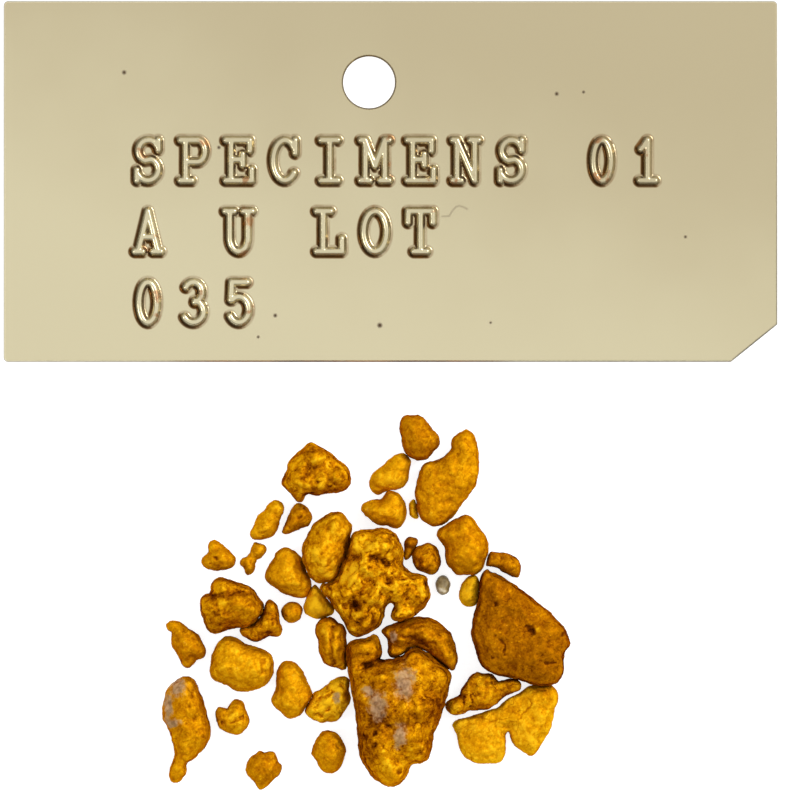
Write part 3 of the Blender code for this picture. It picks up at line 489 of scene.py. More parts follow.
# Every nugget and the stone grain. A row's number gives its seed, so a new row goes at the end.
LOOKS = {
    "crystalline_nugget": Look(0.68, 0.28, 0.26, (
        Pit(-1.03, -1.26, 0.32, 0.55), Pit(0.82, 0.2, 0.25, 0.4), Pit(-2.6, -0.25, 0.15, 0.2),
        Pit(-1.63, -1.31, 0.16, 0.2), Pit(0.07, -1.26, 0.16, 0.2),
        Groove(0.22, 0.2, ((-1.5, 1.3), (-0.6, 1.5), (0.2, 1.4), (0.7, 1.1))),
        Glow(-1.9, 1.7, 0.4, -0.3), Glow(0.2, 1.2, 0.5, -0.25), Glow(-0.5, -1.9, 0.7, -0.28),
        Glow(2.9, 0.1, 0.4, -0.3), Glow(2.6, -1.0, 0.4, -0.2), Glow(1.2, 1.0, 0.4, -0.2),
        Glow(-2.3, 0.7, 0.5, 0.2), Glow(-1.0, 0.5, 0.8, 0.22), Glow(-0.8, 2.2, 0.5, 0.15))),
    "boot_nugget": Look(0.52, 0.1, 0.12, (
        Patch(0.35, 1.65, 0.5, 0.85), Patch(0.1, -1.35, 0.35, 0.7), Patch(-1.15, 0.3, 0.45, 0.75),
        Patch(-1.7, 1.1, 0.3, 0.3), Pit(0.1, -3.4, 0.16, 0.2), Pit(2.05, 1.8, 0.12, 0.12),
        Pit(-1.3, -1.3, 0.12, 0.12), Pit(-1.25, -1.95, 0.12, 0.12),
        Groove(0.14, 0.4, ((-1.9, 2.5), (-1.2, 2.75), (-0.85, 2.9))),
        Glow(-0.5, -3.3, 0.9, 0.22), Glow(0.6, -2.6, 0.6, 0.15), Glow(1.9, 0.3, 0.6, -0.22),
        Glow(-1.6, -1.8, 0.6, -0.2), Glow(-1.0, 0.1, 0.5, -0.15), Glow(1.2, 2.6, 0.6, 0.12),
        Glow(-0.8, -0.6, 0.4, -0.12), Glow(1.0, -0.4, 0.5, -0.1))),
    "slab_nugget": Look(0.38, 0.08, 0.0, (
        Pit(0.6, -0.12, 0.24, 0.28), Pit(0.3, 0.05, 0.1, 0.1),
        Groove(0.05, 0.06, ((-1.17, -0.65), (-0.92, -0.95), (-0.9, -1.5))),
        Pit(-1.4, 1.3, 0.1, 0.1), Pit(-1.45, -0.45, 0.07, 0.08), Pit(-1.6, -1.65, 0.07, 0.08),
        Pit(2.35, -0.35, 0.12, 0.1), Dome(1.8, -1.3, 0.4, 0.14),
        Groove(0.08, 0.06, ((1.4, -1.95), (1.95, -1.98))),
        Glow(0.95, -0.1, 0.12, 0.6), Glow(-0.56, 2.0, 0.14, 0.4), Glow(-2.4, 0.5, 0.12, 0.4),
        Glow(-1.9, -0.6, 0.5, 0.14), Glow(-1.5, -2.1, 0.5, 0.14), Glow(1.3, 0.9, 0.6, 0.06))),
    "fish_nugget": Look(0.62, 0.1, 0.03),
    "crescent_nugget": Look(0.73, 0.15, 0.12, (
        Glow(0.3, -1.2, 0.8, 0.22), Glow(0.5, 1.6, 0.5, -0.15), Glow(0.9, 0.1, 0.4, -0.22),
        Glow(-0.7, 0.5, 0.5, -0.1))),
    "block_nugget": Look(0.62, 0.1, 0.03),
    "butterfly_nugget": Look(0.8, 0.1, 0.07, (
        Groove(0.05, 0.03, ((0.2, 0.4), (-0.8, 0.2), (-1.8, 0.5))),
        Groove(0.05, 0.03, ((0.7, 0.3), (1.3, 0.9), (1.5, 1.5))),
        Glow(2.3, 1.9, 0.5, -0.3), Glow(0.2, 0.9, 0.5, -0.15))),
    "hood_nugget": Look(0.49, 0.1, 0.06, (
        Patch(-1.45, 0.45, 0.22, 0.32), Groove(0.14, 0.1, ((-1.0, 0.5), (-0.3, 0.35), (0.5, -0.1))),
        Glow(0.3, 0.4, 0.25, 0.15))),
    "loaf_nugget": Look(0.77, 0.1, 0.04, (Groove(0.14, 0.08, ((1.25, 0.2), (1.15, -0.4))),
                                          Glow(1.45, -0.1, 0.16, 0.25), Glow(1.2, 0.7, 0.4, -0.12))),
    "veined_nugget": Look(0.6, 0.12, 0.06, (
        Patch(-0.5, 2.4, 0.45, 0.5), Patch(-1.0, 1.2, 0.25, 0.8), Patch(-0.8, 0.4, 0.45, 0.25))),
    "cluster_nugget": Look(0.545, 0.15, 0.1, (
        Dome(-0.55, 1.05, 0.5, 0.2), Dome(-1.35, 0.1, 0.5, 0.15), Dome(0.6, -0.2, 0.9, 0.2),
        Groove(0.18, 0.15, ((-1.1, 0.6), (-0.4, 0.6), (0.5, 0.85), (1.2, 0.7))),
        Groove(0.16, 0.1, ((-0.85, 0.5), (-0.8, -0.2), (-1.1, -0.8))),
        Glow(-0.45, 0.15, 0.25, 0.3), Glow(-1.0, -0.6, 0.2, 0.25), Glow(-0.8, 1.1, 0.25, 0.2))),
    "cap_nugget": Look(0.56, 0.2, 0.16, (
        Dome(0.0, 0.1, 0.7, -0.2), Glow(0.5, 0.95, 0.35, 0.25), Glow(-0.9, 0.7, 0.3, 0.25),
        Glow(0.0, 0.2, 0.6, -0.1), Glow(1.4, -0.1, 0.4, -0.28), Glow(-1.7, -0.4, 0.3, -0.3),
        Glow(0.1, -0.8, 0.4, 0.12))),
    "oval_nugget": Look(0.73, 0.08, 0.03),
    "pebble_nugget": Look(0.7, 0.06, 0.03, (Glow(0.0, 0.25, 0.12, 0.3), Glow(0.1, -0.2, 0.12, 0.3))),
    "wedge_nugget": Look(1.0, 0.05, 0.03),
    "ribbed_nugget": Look(0.64, 0.08, 0.06, (
        Groove(0.14, 0.14, ((0.1, 1.0), (0.0, 0.2), (0.0, -0.4), (0.15, -1.1))), Glow(0.6, 0.0, 0.4, -0.1))),
    "openwork_nugget": Look(0.9, 0.15, 0.14, (
        Pit(0.08, -0.5, 0.13, 0.2), Pit(-0.37, -0.9, 0.1, 0.15), Patch(0.5, 0.15, 0.22, 0.3),
        Groove(0.09, 0.14, ((-0.5, 0.0), (0.0, 0.25), (0.3, 0.45))))),
    "knuckle_nugget": Look(0.43, 0.15, 0.15),
    "knobby_nugget": Look(0.51, 0.15, 0.18, (
        Groove(0.12, 0.12, ((-0.7, -0.1), (-0.6, -0.6))), Glow(1.8, 0.6, 0.5, -0.2),
        Glow(-0.2, 0.8, 0.3, 0.2))),
    "heart_nugget": Look(0.71, 0.08, 0.03),
    "acorn_nugget": Look(0.5, 0.05, 0.02),
    "slipper_nugget": Look(0.75, 0.08, 0.03),
    "finger_nugget": Look(0.45, 0.06, 0.03),
    "half_moon_nugget": Look(0.9, 0.05, 0.02),
    "button_nugget": Look(0.54, 0.1, 0.1),
    "stick_nugget": Look(0.4, 0.04, 0.05),
    "nut_nugget": Look(0.63, 0.06, 0.04),
    "star_nugget": Look(0.53, 0.08, 0.05),
    "claw_nugget": Look(0.67, 0.08, 0.08, (
        Groove(0.08, 0.1, ((-0.1, -0.25), (0.35, -0.15), (0.6, 0.05))), Pit(-0.6, -0.3, 0.1, 0.1),
        Glow(0.1, 0.1, 0.2, 0.25))),
    "fin_nugget": Look(0.54, 0.08, 0.04),
    "kidney_nugget": Look(0.6, 0.06, 0.03, (
        Pit(-0.17, -0.12, 0.1, 0.12), Pit(-0.47, -0.45, 0.05, 0.08), Pit(0.0, -0.65, 0.05, 0.08))),
    "slug_nugget": Look(0.69, 0.06, 0.04),
    "teardrop_nugget": Look(0.53, 0.06, 0.04, (Pit(0.23, 0.08, 0.16, 0.12),)),
    "bone_nugget": Look(0.58, 0.06, 0.04),
    "pea_nugget": Look(0.63, 0.04, 0.02),
    "chip_nugget": Look(1.08, 0.03, 0.02),
    "stone_grain": Look(0.5, 0.03, 0.0),
}


def begin_tree(name, **kinds):
    """A Geometry Nodes tree with these inputs, whose names have _ for a space here, and their wires."""
    tree = bpy.data.node_groups.new(name, "GeometryNodeTree")
    face = tree.interface
    face.new_socket("Geometry", in_out="INPUT", socket_type="NodeSocketGeometry")
    for field, kind in (*kinds.items(), ("Finish", "Material")):
        face.new_socket(field.replace("_", " "), in_out="INPUT", socket_type="NodeSocket" + kind)
    face.new_socket("Geometry", in_out="OUTPUT", socket_type="NodeSocketGeometry")
    sheet = Sheet(tree)
    inputs = tree.nodes.new("NodeGroupInput")
    return sheet, {socket.name: Wire(sheet, socket) for socket in inputs.outputs if socket.name}


def end_tree(sheet, geometry, finish):
    """Makes a tree's geometry real, gives it its finish and sends it out."""
    real = sheet.add("GeometryNodeRealizeInstances", {}, {"Geometry": geometry})
    finished = sheet.add("GeometryNodeSetMaterial", {}, {"Geometry": real, "Material": finish})
    output = sheet.tree.nodes.new("NodeGroupOutput")
    sheet.tree.links.new(finished.socket, output.inputs["Geometry"])
    return sheet.tree


def skin_tree():
    """Geometry Nodes that turn a plain solid into a nugget's skin: rounded, lumpy, crumpled and grainy."""
    sheet, given = begin_tree(
        "nugget_skin", Rounding="Int", Swell="Float", Lump_Size="Float", Lump_Height="Float",
        Crumple_Size="Float", Crumple_Depth="Float", Grain_Size="Float", Grain_Height="Float", Seed="Float")
    where = sheet.add("GeometryNodeInputPosition")
    rounded = sheet.add("GeometryNodeBlurAttribute", {"data_type": "FLOAT_VECTOR"},
                        {"Value": where, "Iterations": given["Rounding"]})
    solid = sheet.add("GeometryNodeSetPosition", {}, {"Geometry": given["Geometry"], "Position": rounded})

    def field(size, detail, shift):
        """Noise about 0, from -0.5 to 0.5. The shift keeps one use of it unlike another."""
        return sheet.noise(where, size, detail, given["Seed"] + shift) - 0.5

    # Broad lumps, the same up as down.
    lumps = field(given["Lump Size"], 1.0, 0.0) * given["Lump Height"] * 2

    # Folds: the cells of a warped pattern, with creases where a noise passes through its middle value.
    swirl = sheet.add("ShaderNodeTexNoise", {"noise_dimensions": "4D"}, {
        "Vector": where, "W": given["Seed"] + 10, "Scale": 2.2, "Detail": 2.0}, "Color")
    aside = sheet.add("ShaderNodeCombineXYZ", {}, {"X": given["Seed"] * 3})
    warped = sheet.vector("ADD", sheet.vector("ADD", where, sheet.scaled(swirl, 0.7)), aside)
    away = sheet.add("ShaderNodeTexVoronoi", {"feature": "SMOOTH_F1"}, {
        "Vector": warped, "Scale": 1 / given["Crumple Size"], "Smoothness": 0.35}, "Distance")
    crease = abs(field(given["Crumple Size"] * 1.4, 3.0, 40.0))
    folds = ((0.42 - away) * 1.3 + (0.1 - crease) * 2.6) * given["Crumple Depth"]

    # Fine grain everywhere, and a ragged outline.
    grains = field(given["Grain Size"], 2.0, 20.0) * given["Grain Height"] * 2
    edge_bumps = field(0.4, 3.0, 30.0) * given["Swell"] * 2.6
    normal = sheet.add("GeometryNodeInputNormal")
    upward = sheet.add("ShaderNodeSeparateXYZ", {}, {0: normal}, "Z").fade(-0.1, 0.75)
    lift = (lumps + folds) * upward + grains * (0.2 + 0.8 * upward) + edge_bumps + given["Swell"]
    skin = sheet.add("GeometryNodeSetPosition", {}, {
        "Geometry": solid, "Offset": sheet.scaled(normal, lift)})
    smooth = sheet.add("GeometryNodeSetShadeSmooth", {}, {"Geometry": skin})
    return end_tree(sheet, smooth, given["Finish"])


def give_inputs(modifier, values):
    """Sets a Geometry Nodes modifier's inputs, which are found by their sockets' identifiers."""
    for item in modifier.node_group.interface.items_tree:
        if item.in_out == "INPUT" and item.name in values:
            modifier[item.identifier] = values[item.name]


def show(name, data):
    """A new object in the scene for a mesh, a lamp or a camera."""
    made = bpy.data.objects.new(name, data)
    bpy.context.scene.collection.objects.link(made)
    return made


def bake(work, name):
    """The working object's evaluated mesh as a plain mesh. The working object is removed."""
    bpy.context.view_layer.update()
    shown = work.evaluated_get(bpy.context.evaluated_depsgraph_get())
    mesh = bpy.data.meshes.new_from_object(shown)
    mesh.name = name
    bpy.data.objects.remove(work)
    return mesh


def merged_copy(node):
    """A working object with a merged copy of a node's solid, in millimetres about its box's middle."""
    low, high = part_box(node)
    middle = (low + high) / 2
    body = bmesh.new()
    body.from_mesh(frame["nodes"][node].data)
    bmesh.ops.remove_doubles(body, verts=body.verts, dist=MERGE_DISTANCE * MM)
    for vertex in body.verts:
        vertex.co = (vertex.co - middle) / MM
    mesh = bpy.data.meshes.new(node + "_work")
    body.to_mesh(mesh)
    body.free()
    return show(node + "_work", mesh), middle


def read_points(mesh, field):
    """A mesh's points or their normals, as rows of three numbers."""
    values = np.zeros(len(mesh.vertices) * 3, np.float32)
    mesh.vertices.foreach_get(field, values)
    return values.reshape(-1, 3).astype(float)


def edge_ends(mesh):
    """The numbers of the two points that each edge of a mesh joins."""
    ends = np.zeros(len(mesh.edges) * 2, np.int32)
    mesh.edges.foreach_get("vertices", ends)
    return ends.reshape(-1, 2)


def smoothed(values, ends, passes):
    """Values on a mesh's points after some passes of averaging with their neighbours."""
    count = np.bincount(ends.ravel(), minlength=len(values))[:, None]
    for _ in range(passes):
        total = np.zeros_like(values)
        np.add.at(total, ends[:, 0], values[ends[:, 1]])
        np.add.at(total, ends[:, 1], values[ends[:, 0]])
        values = 0.5 * values + 0.5 * total / count
    return values


def line_distance(points, places):
    """How far each point is from a line through places, in plan."""
    best = np.full(len(points), np.inf)
    for a, b in zip(np.array(places[:-1], float), np.array(places[1:], float)):
        along = b - a
        share = np.clip((points - a) @ along / (along @ along), 0, 1)
        best = np.minimum(best, np.linalg.norm(points - a - share[:, None] * along, axis=1))
    return best


def ragged(plan):
    """Places in plan, moved a little so that what is drawn at them has an uneven outline."""
    x, y = plan.T
    across = np.sin(9.1 * y + 1.3) + np.sin(17.3 * x + 5.0 * y + 0.4)
    along = np.sin(8.3 * x + 2.1) + np.sin(19.7 * y - 6.0 * x)
    return plan + 0.035 * np.stack([across, along], 1)


def carve(points, normals, marks):
    """Presses a nugget's marks into the upper side, and gives each point's painted shade from pits and
    grooves, its brightness from glows, and how stony it is.
    """
    plan = ragged(points[:, :2])
    upward = np.clip((normals[:, 2] + 0.1) / 0.5, 0, 1)
    hollow, glow, quartz = np.zeros((3, len(points)))
    for mark in marks:
        if isinstance(mark, Groove):
            share = np.exp(-(line_distance(plan, mark.places) / mark.width) ** 2) * upward
        elif isinstance(mark, Patch):
            away = np.hypot((plan[:, 0] - mark.x) / mark.half_width, (plan[:, 1] - mark.y) / mark.half_height)
            quartz = np.maximum(quartz, np.clip(1.4 - 0.8 * away, 0, 1) * upward)
            continue
        else:
            away = np.hypot(plan[:, 0] - mark.x, plan[:, 1] - mark.y)
            share = np.exp(-(away / mark.radius) ** 2) * upward
        if isinstance(mark, Glow):
            glow += mark.amount * share
        elif isinstance(mark, Dome):
            points[:, 2] += mark.height * share
        else:
            points[:, 2] -= mark.depth * share
            hollow = np.maximum(hollow, share)
    return hollow, glow, quartz


def paint(mesh, name, values):
    """Puts a number on each of a mesh's points."""
    layer = mesh.attributes.new(name, "FLOAT", "POINT")
    layer.data.foreach_set("value", np.asarray(values, np.float32))


def finish_piece(mesh, name, node):
    """Shows a mesh as a finished piece: it replaces its node and rides on its body."""
    piece = show(name, mesh)
    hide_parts(node)
    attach(piece, BODIES[node])


def make_nugget(node, look, tree, finish, seed):
    """One nugget's fine piece, from its node's solid."""
    s = bpy.context.scene.gold_nuggets
    work, middle = merged_copy(node)
    remesh = work.modifiers.new("remesh", "REMESH")
    remesh.mode = "VOXEL"
    remesh.voxel_size = s.mesh_size / MM
    skin = work.modifiers.new("skin", "NODES")
    skin.node_group = tree
    give_inputs(skin, {
        "Rounding": s.rounding, "Swell": s.swell / MM, "Seed": seed, "Finish": finish,
        "Lump Size": s.lump_size / MM, "Lump Height": look.lumps,
        "Crumple Size": s.crumple_size / MM, "Crumple Depth": look.crumple,
        "Grain Size": s.grain_size / MM, "Grain Height": s.grain_height / MM})
    mesh = bake(work, node + "_skin")

    points, normals, ends = read_points(mesh, "co"), read_points(mesh, "normal"), edge_ends(mesh)
    hollow, glow, quartz = carve(points, normals, look.marks)
    mesh.vertices.foreach_set("co", points.ravel().astype(np.float32))
    mesh.update()
    normals = read_points(mesh, "normal")
    # Height over smoothed copies: the finish makes raised spots brighter, as wear and painted highlight, and
    # low spots darker, as painted shade.
    relief = sum(weight * ((points - smoothed(points, ends, passes)) * normals).sum(1)
                 for passes, weight in (FINE_RELIEF, BROAD_RELIEF))
    paint(mesh, "relief", np.clip(relief, *RELIEF_RANGE))
    paint(mesh, "hollow", hollow)
    paint(mesh, "quartz", quartz)
    # Steepness, which the finishes turn into painted shade.
    level = smoothed(normals[:, 2:], ends, 3)[:, 0]
    paint(mesh, "flank", np.clip((0.95 - level) / 0.9, 0, 1.1))
    # The tint with the glows added: partly tone, partly painted highlight and painted shade.
    paint(mesh, "tint", look.tint + glow)
    # The more crumpled a nugget is, the more uneven its colour is.
    paint(mesh, "unrest", np.full(len(points), min(0.3 + 4 * look.crumple, 1.1)))

    # In place and in metres, with no point under the solid's flat foot or too far over its top.
    low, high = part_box(node)
    points = points * MM + np.array(middle)
    points[:, 2] = np.maximum(points[:, 2], low.z)
    squeeze = (high.z + SKIN_ABOVE_SOLID * MM - low.z) / (points[:, 2].max() - low.z)
    points[:, 2] = low.z + (points[:, 2] - low.z) * min(1, squeeze)
    mesh.vertices.foreach_set("co", points.ravel().astype(np.float32))
    mesh.update()
    finish_piece(mesh, node + "_surface", node)


def make_nuggets(slot, finish):
    """Every nugget whose material slot is this one."""
    tree = bpy.data.node_groups.get("nugget_skin") or skin_tree()
    for row, (node, look) in enumerate(LOOKS.items()):
        if SLOTS[node] == slot:
            make_nugget(node, look, tree, finish, SEED_STEP * row)


# ---------------------------------------------------------------- the tag


def arc(middle_u, middle_v, radius_u, radius_v, start, end):
    """A stretch of an ellipse in a character's stroke box, from one angle to another in degrees."""
    turn = np.radians(np.linspace(start, end, 2 + round(abs(end - start) / 12)))
    return [(middle_u + radius_u * math.cos(a), middle_v + radius_v * math.sin(a)) for a in turn]


# Each character's strokes. u runs from -1 at the left of its box to 1, and v from 0 at its foot to 1.
STROKES = {
    "A": (((-0.75, 0), (0, 1), (0.75, 0)), ((-0.45, 0.36), (0.45, 0.36)), ((-1, 0), (-0.4, 0)),
          ((0.4, 0), (1, 0))),
    "C": ([(0.85, 0.68), (0.85, 1)], arc(0.05, 0.5, 0.9, 0.5, 38, 322)),
    "E": (((-0.6, 0), (-0.6, 1)), ((-1, 1), (0.85, 1), (0.85, 0.74)), ((-1, 0), (1, 0), (1, 0.28)),
          ((-0.6, 0.52), (0.3, 0.52)), ((0.3, 0.38), (0.3, 0.66))),
    "I": (((0, 0), (0, 1)), ((-0.65, 0), (0.65, 0)), ((-0.65, 1), (0.65, 1))),
    "L": (((-0.5, 0), (-0.5, 1)), ((-1, 1), (0.1, 1)), ((-1, 0), (0.95, 0), (0.95, 0.32))),
    "M": (((-0.75, 0), (-0.75, 1), (0, 0.36), (0.75, 1), (0.75, 0)), ((-1.1, 0), (-0.4, 0)),
          ((0.4, 0), (1.1, 0)), ((-1.1, 1), (-0.75, 1)), ((0.75, 1), (1.1, 1))),
    "N": (((-0.68, 0), (-0.68, 1), (0.68, 0), (0.68, 1)), ((-1, 0), (-0.35, 0)), ((-1, 1), (-0.68, 1)),
          ((0.35, 1), (1, 1))),
    "O": (arc(0, 0.5, 0.88, 0.5, 0, 360),),
    "P": (((-0.6, 0), (-0.6, 1)), ((-1, 0), (-0.1, 0)), [(-1, 1)] + arc(0.3, 0.73, 0.6, 0.27, 90, -90)
          + [(-0.6, 0.46)]),
    "S": ([(0.8, 1), (0.8, 0.76)],
          arc(0.02, 0.74, 0.76, 0.26, 28, 250) + arc(-0.02, 0.27, 0.82, 0.27, 70, -150),
          [(-0.84, 0), (-0.84, 0.26)]),
    "T": (((0, 0), (0, 1)), ((-0.95, 0.72), (-0.95, 1), (0.95, 1), (0.95, 0.72)), ((-0.5, 0), (0.5, 0))),
    "U": ([(-0.7, 1)] + arc(0, 0.34, 0.7, 0.34, 180, 360) + [(0.7, 1)], ((-1.05, 1), (-0.35, 1)),
          ((0.35, 1), (1.05, 1))),
    "0": (arc(0, 0.5, 0.68, 0.5, 0, 360),),
    "1": (((-0.5, 0.78), (0, 1), (0, 0)), ((-0.6, 0), (0.6, 0))),
    "3": (arc(0, 0.75, 0.66, 0.25, 150, -80) + arc(0, 0.27, 0.78, 0.27, 80, -150),),
    "5": ([(0.65, 1), (-0.55, 1), (-0.62, 0.56)] + arc(0, 0.32, 0.76, 0.32, 130, -150),),
}

# The tag's text and its layout, which are those of the plain plate.
TAG_TEXT = ("SPECIMENS 01", "A U LOT", "035")
CHARACTER_PITCH = 2.54
LINE_PITCH = 3.97
STROKE_BOX_WIDTH = 1.45
STROKE_BOX_HEIGHT = 2.25
TEXT_FROM_MIDDLE = 0.4
TEXT_FROM_CENTRE = 0.2
TAG_WIDTH = 43.3
TAG_HEIGHT = 20.2
TAG_THICKNESS = 0.4
CORNER_RADIUS = 0.25
CLIPPED_CORNER_WIDTH = 2.6
CLIPPED_CORNER_HEIGHT = 2.1
HOLE_DIAMETER = 2.9
HOLE_FROM_TOP = 4.55
HOLE_FROM_MIDDLE = -1.2
EDGE_BEVEL = 0.09

# Degrees from one point of the hole's rim to the next.
HOLE_STEP = 4

# The nets of points over the plate: their spacing, and how near to and far from a stroke they lie.
NETS = ((0.062, -1, 0.46), (0.26, 0.54, 1.2), (0.9, 1.4, 99))

# How far inside the plate's edge and outside the hole the nets stay, and how far a fine net reaches round a
# speck or the scratch. NET_FROM_CLIP is 1 on the clipped corner's own line, and grows inwards.
NET_FROM_EDGE = 0.4
NET_FROM_HOLE = 0.35
NET_FROM_CLIP = 1.3
FINE_NET_REACH = 0.3

# Tiny dark specks on the plate: x and y from its middle, and their radius.
SPECKS = ((-14.9, 6.1, 0.1), (-6.45, -7.5, 0.09), (-0.6, -8.05, 0.12), (9.3, 4.9, 0.09), (10.8, 5.0, 0.07),
          (-7.4, -8.7, 0.07), (-9.6, 1.9, 0.08), (16.5, -3.1, 0.07), (5.6, -7.9, 0.06))

# A fine curved scratch beside the text, as places from the plate's middle, and its width.
SCRATCH = ((2.89, -1.96), (3.27, -1.94), (3.5, -1.6), (3.66, -1.42), (3.85, -1.36), (4.1, -1.44),
           (4.29, -1.54))
SCRATCH_WIDTH = 0.05
SCRATCH_DARKNESS = 0.35

# The way in plan to the studio's window. Each character is shaded on its other side.
TO_WINDOW = (0.8, 0.6, 0)


def text_strokes(bottom):
    """Every stroke of the text as an open row of places, on a plate whose lower edge is at bottom."""
    _, high = (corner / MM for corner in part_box("tag_plate"))
    hole_foot = high.y - HOLE_FROM_TOP - HOLE_DIAMETER / 2
    middle_y = (hole_foot + bottom) / 2 + TEXT_FROM_CENTRE
    longest = max(len(line) for line in TAG_TEXT)
    first_x = TEXT_FROM_MIDDLE - CHARACTER_PITCH * (longest - 1) / 2
    rows = []
    for n, line in enumerate(TAG_TEXT):
        foot = middle_y + LINE_PITCH * ((len(TAG_TEXT) - 1) / 2 - n) - STROKE_BOX_HEIGHT / 2
        for column, letter in enumerate(line):
            for stroke in STROKES.get(letter, ()):
                u, v = np.array(stroke, float).T
                x = first_x + column * CHARACTER_PITCH + u * STROKE_BOX_WIDTH / 2
                rows.append(np.stack([x, foot + v * STROKE_BOX_HEIGHT], 1))
    return rows


def plate_edge(left, right, bottom, top, inset):
    """The plate's edge, moved in by an inset: three small round corners, and one that is clipped off."""
    edge = []
    r = CORNER_RADIUS
    for x, y, start in ((right - r, top - r, 0), (left + r, top - r, 90), (left + r, bottom + r, 180)):
        for turn in np.radians(np.linspace(start, start + 90, 6)):
            edge.append((x + (r - inset) * math.cos(turn), y + (r - inset) * math.sin(turn)))
    slant = math.atan2(CLIPPED_CORNER_HEIGHT, CLIPPED_CORNER_WIDTH)
    edge.append((right - CLIPPED_CORNER_WIDTH - inset * math.tan(slant / 2), bottom + inset))
    edge.append((right - inset, bottom + CLIPPED_CORNER_HEIGHT + inset * math.tan((math.pi / 2 - slant) / 2)))
    return np.array(edge)


def hexagonal_grid(low, high, step):
    """Points a step apart in every direction, between two corners."""
    rows = []
    for n, y in enumerate(np.arange(low[1], high[1], step * math.sqrt(0.75))):
        x = np.arange(low[0] + step * (n % 2) / 2, high[0], step)
        rows.append(np.stack([x, np.full(len(x), y)], 1))
    return np.vstack(rows)


def stroke_distance(points, rows):
    """How far each point is from the nearest stroke, or infinity where none is near."""
    reach = 1.5
    best = np.full(len(points), np.inf)
    for row in rows:
        low, high = row.min(0) - reach, row.max(0) + reach
        near = ((points > low) & (points < high)).all(1)
        if near.any():
            best[near] = np.minimum(best[near], line_distance(points[near], row))
    return best


def plate_mesh(rows):
    """The flat plate as a closed shell, with a fine net of points round the strokes and specks."""
    low, high = (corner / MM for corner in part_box("tag_plate"))
    left, right, bottom, top = low.x, high.x, low.y, high.y
    middle = np.array([(left + right) / 2, (bottom + top) / 2])
    hole_middle = np.array([middle[0] + HOLE_FROM_MIDDLE, top - HOLE_FROM_TOP])
    turns = np.radians(np.arange(0, 360, HOLE_STEP))
    circle = np.stack([np.cos(turns), np.sin(turns)], 1)
    rim, rim_top = (hole_middle + (HOLE_DIAMETER / 2 + b) * circle for b in (0, EDGE_BEVEL))
    edge, edge_top = (plate_edge(left, right, bottom, top, b) for b in (0, EDGE_BEVEL))

    nets = []
    for step, nearest, farthest in NETS:
        net = hexagonal_grid((left + NET_FROM_EDGE, bottom + NET_FROM_EDGE),
                             (right - NET_FROM_EDGE, top - NET_FROM_EDGE), step)
        away = stroke_distance(net, rows)
        for x, y, radius in SPECKS:
            away = np.minimum(away, np.linalg.norm(net - middle - (x, y), axis=1) + FINE_NET_REACH - radius)
        away = np.minimum(away, line_distance(net - middle, SCRATCH) + FINE_NET_REACH - SCRATCH_WIDTH)
        slope = (net - (right, bottom)) / (CLIPPED_CORNER_WIDTH, CLIPPED_CORNER_HEIGHT)
        keep = (away > nearest) & (away <= farthest) & (slope[:, 1] - slope[:, 0] > NET_FROM_CLIP)
        keep &= np.linalg.norm(net - hole_middle, axis=1) > HOLE_DIAMETER / 2 + NET_FROM_HOLE
        nets.append(net[keep])

    rings = [edge, edge_top, rim, rim_top]
    starts = np.cumsum([0] + [len(r) for r in rings])
    loops = [list(range(a, b)) for a, b in zip(starts, starts[1:])]
    flat = np.vstack(rings + nets)
    links = [(a, b) for loop in loops for a, b in zip(loop, loop[1:] + loop[:1])]
    made = delaunay_2d_cdt([Vector(p) for p in flat], links, [], INSIDE_ONLY, 1e-5)
    source = [ids[0] for ids in made[3]]
    if len(source) != len(flat):
        raise RuntimeError("two points of the plate coincide")
    faces = np.array([[source[i] for i in face] for face in made[2]])
    # Faces inside the hole go. Their middles lie inside the circle that its rim's flats touch.
    flats_touch = HOLE_DIAMETER / 2 * math.cos(math.radians(HOLE_STEP / 2))
    faces = faces[np.linalg.norm(flat[faces].mean(1) - hole_middle, axis=1) > flats_touch]

    drop = np.zeros(len(flat))
    drop[loops[0] + loops[2]] = EDGE_BEVEL
    upper = np.column_stack([flat, TAG_THICKNESS - drop])
    lower = np.column_stack([flat, drop])
    count = len(flat)
    sheet = faces.tolist() + (faces[:, ::-1] + count).tolist()
    for loop in (loops[0], loops[2]):
        sheet += [[b, a, a + count, b + count] for a, b in zip(loop, loop[1:] + loop[:1])]
    mesh = bpy.data.meshes.new("tag_sheet")
    mesh.from_pydata(np.vstack([upper, lower]).tolist(), [], sheet)
    body = bmesh.new()
    body.from_mesh(mesh)
    bmesh.ops.recalc_face_normals(body, faces=body.faces)
    body.to_mesh(mesh)
    body.free()
    cut, bore = np.zeros((2, count))
    cut[loops[0]] = 1
    bore[loops[2]] = 1
    paint(mesh, "cut", np.tile(cut, 2))
    paint(mesh, "bore", np.tile(bore, 2))
    return mesh, middle


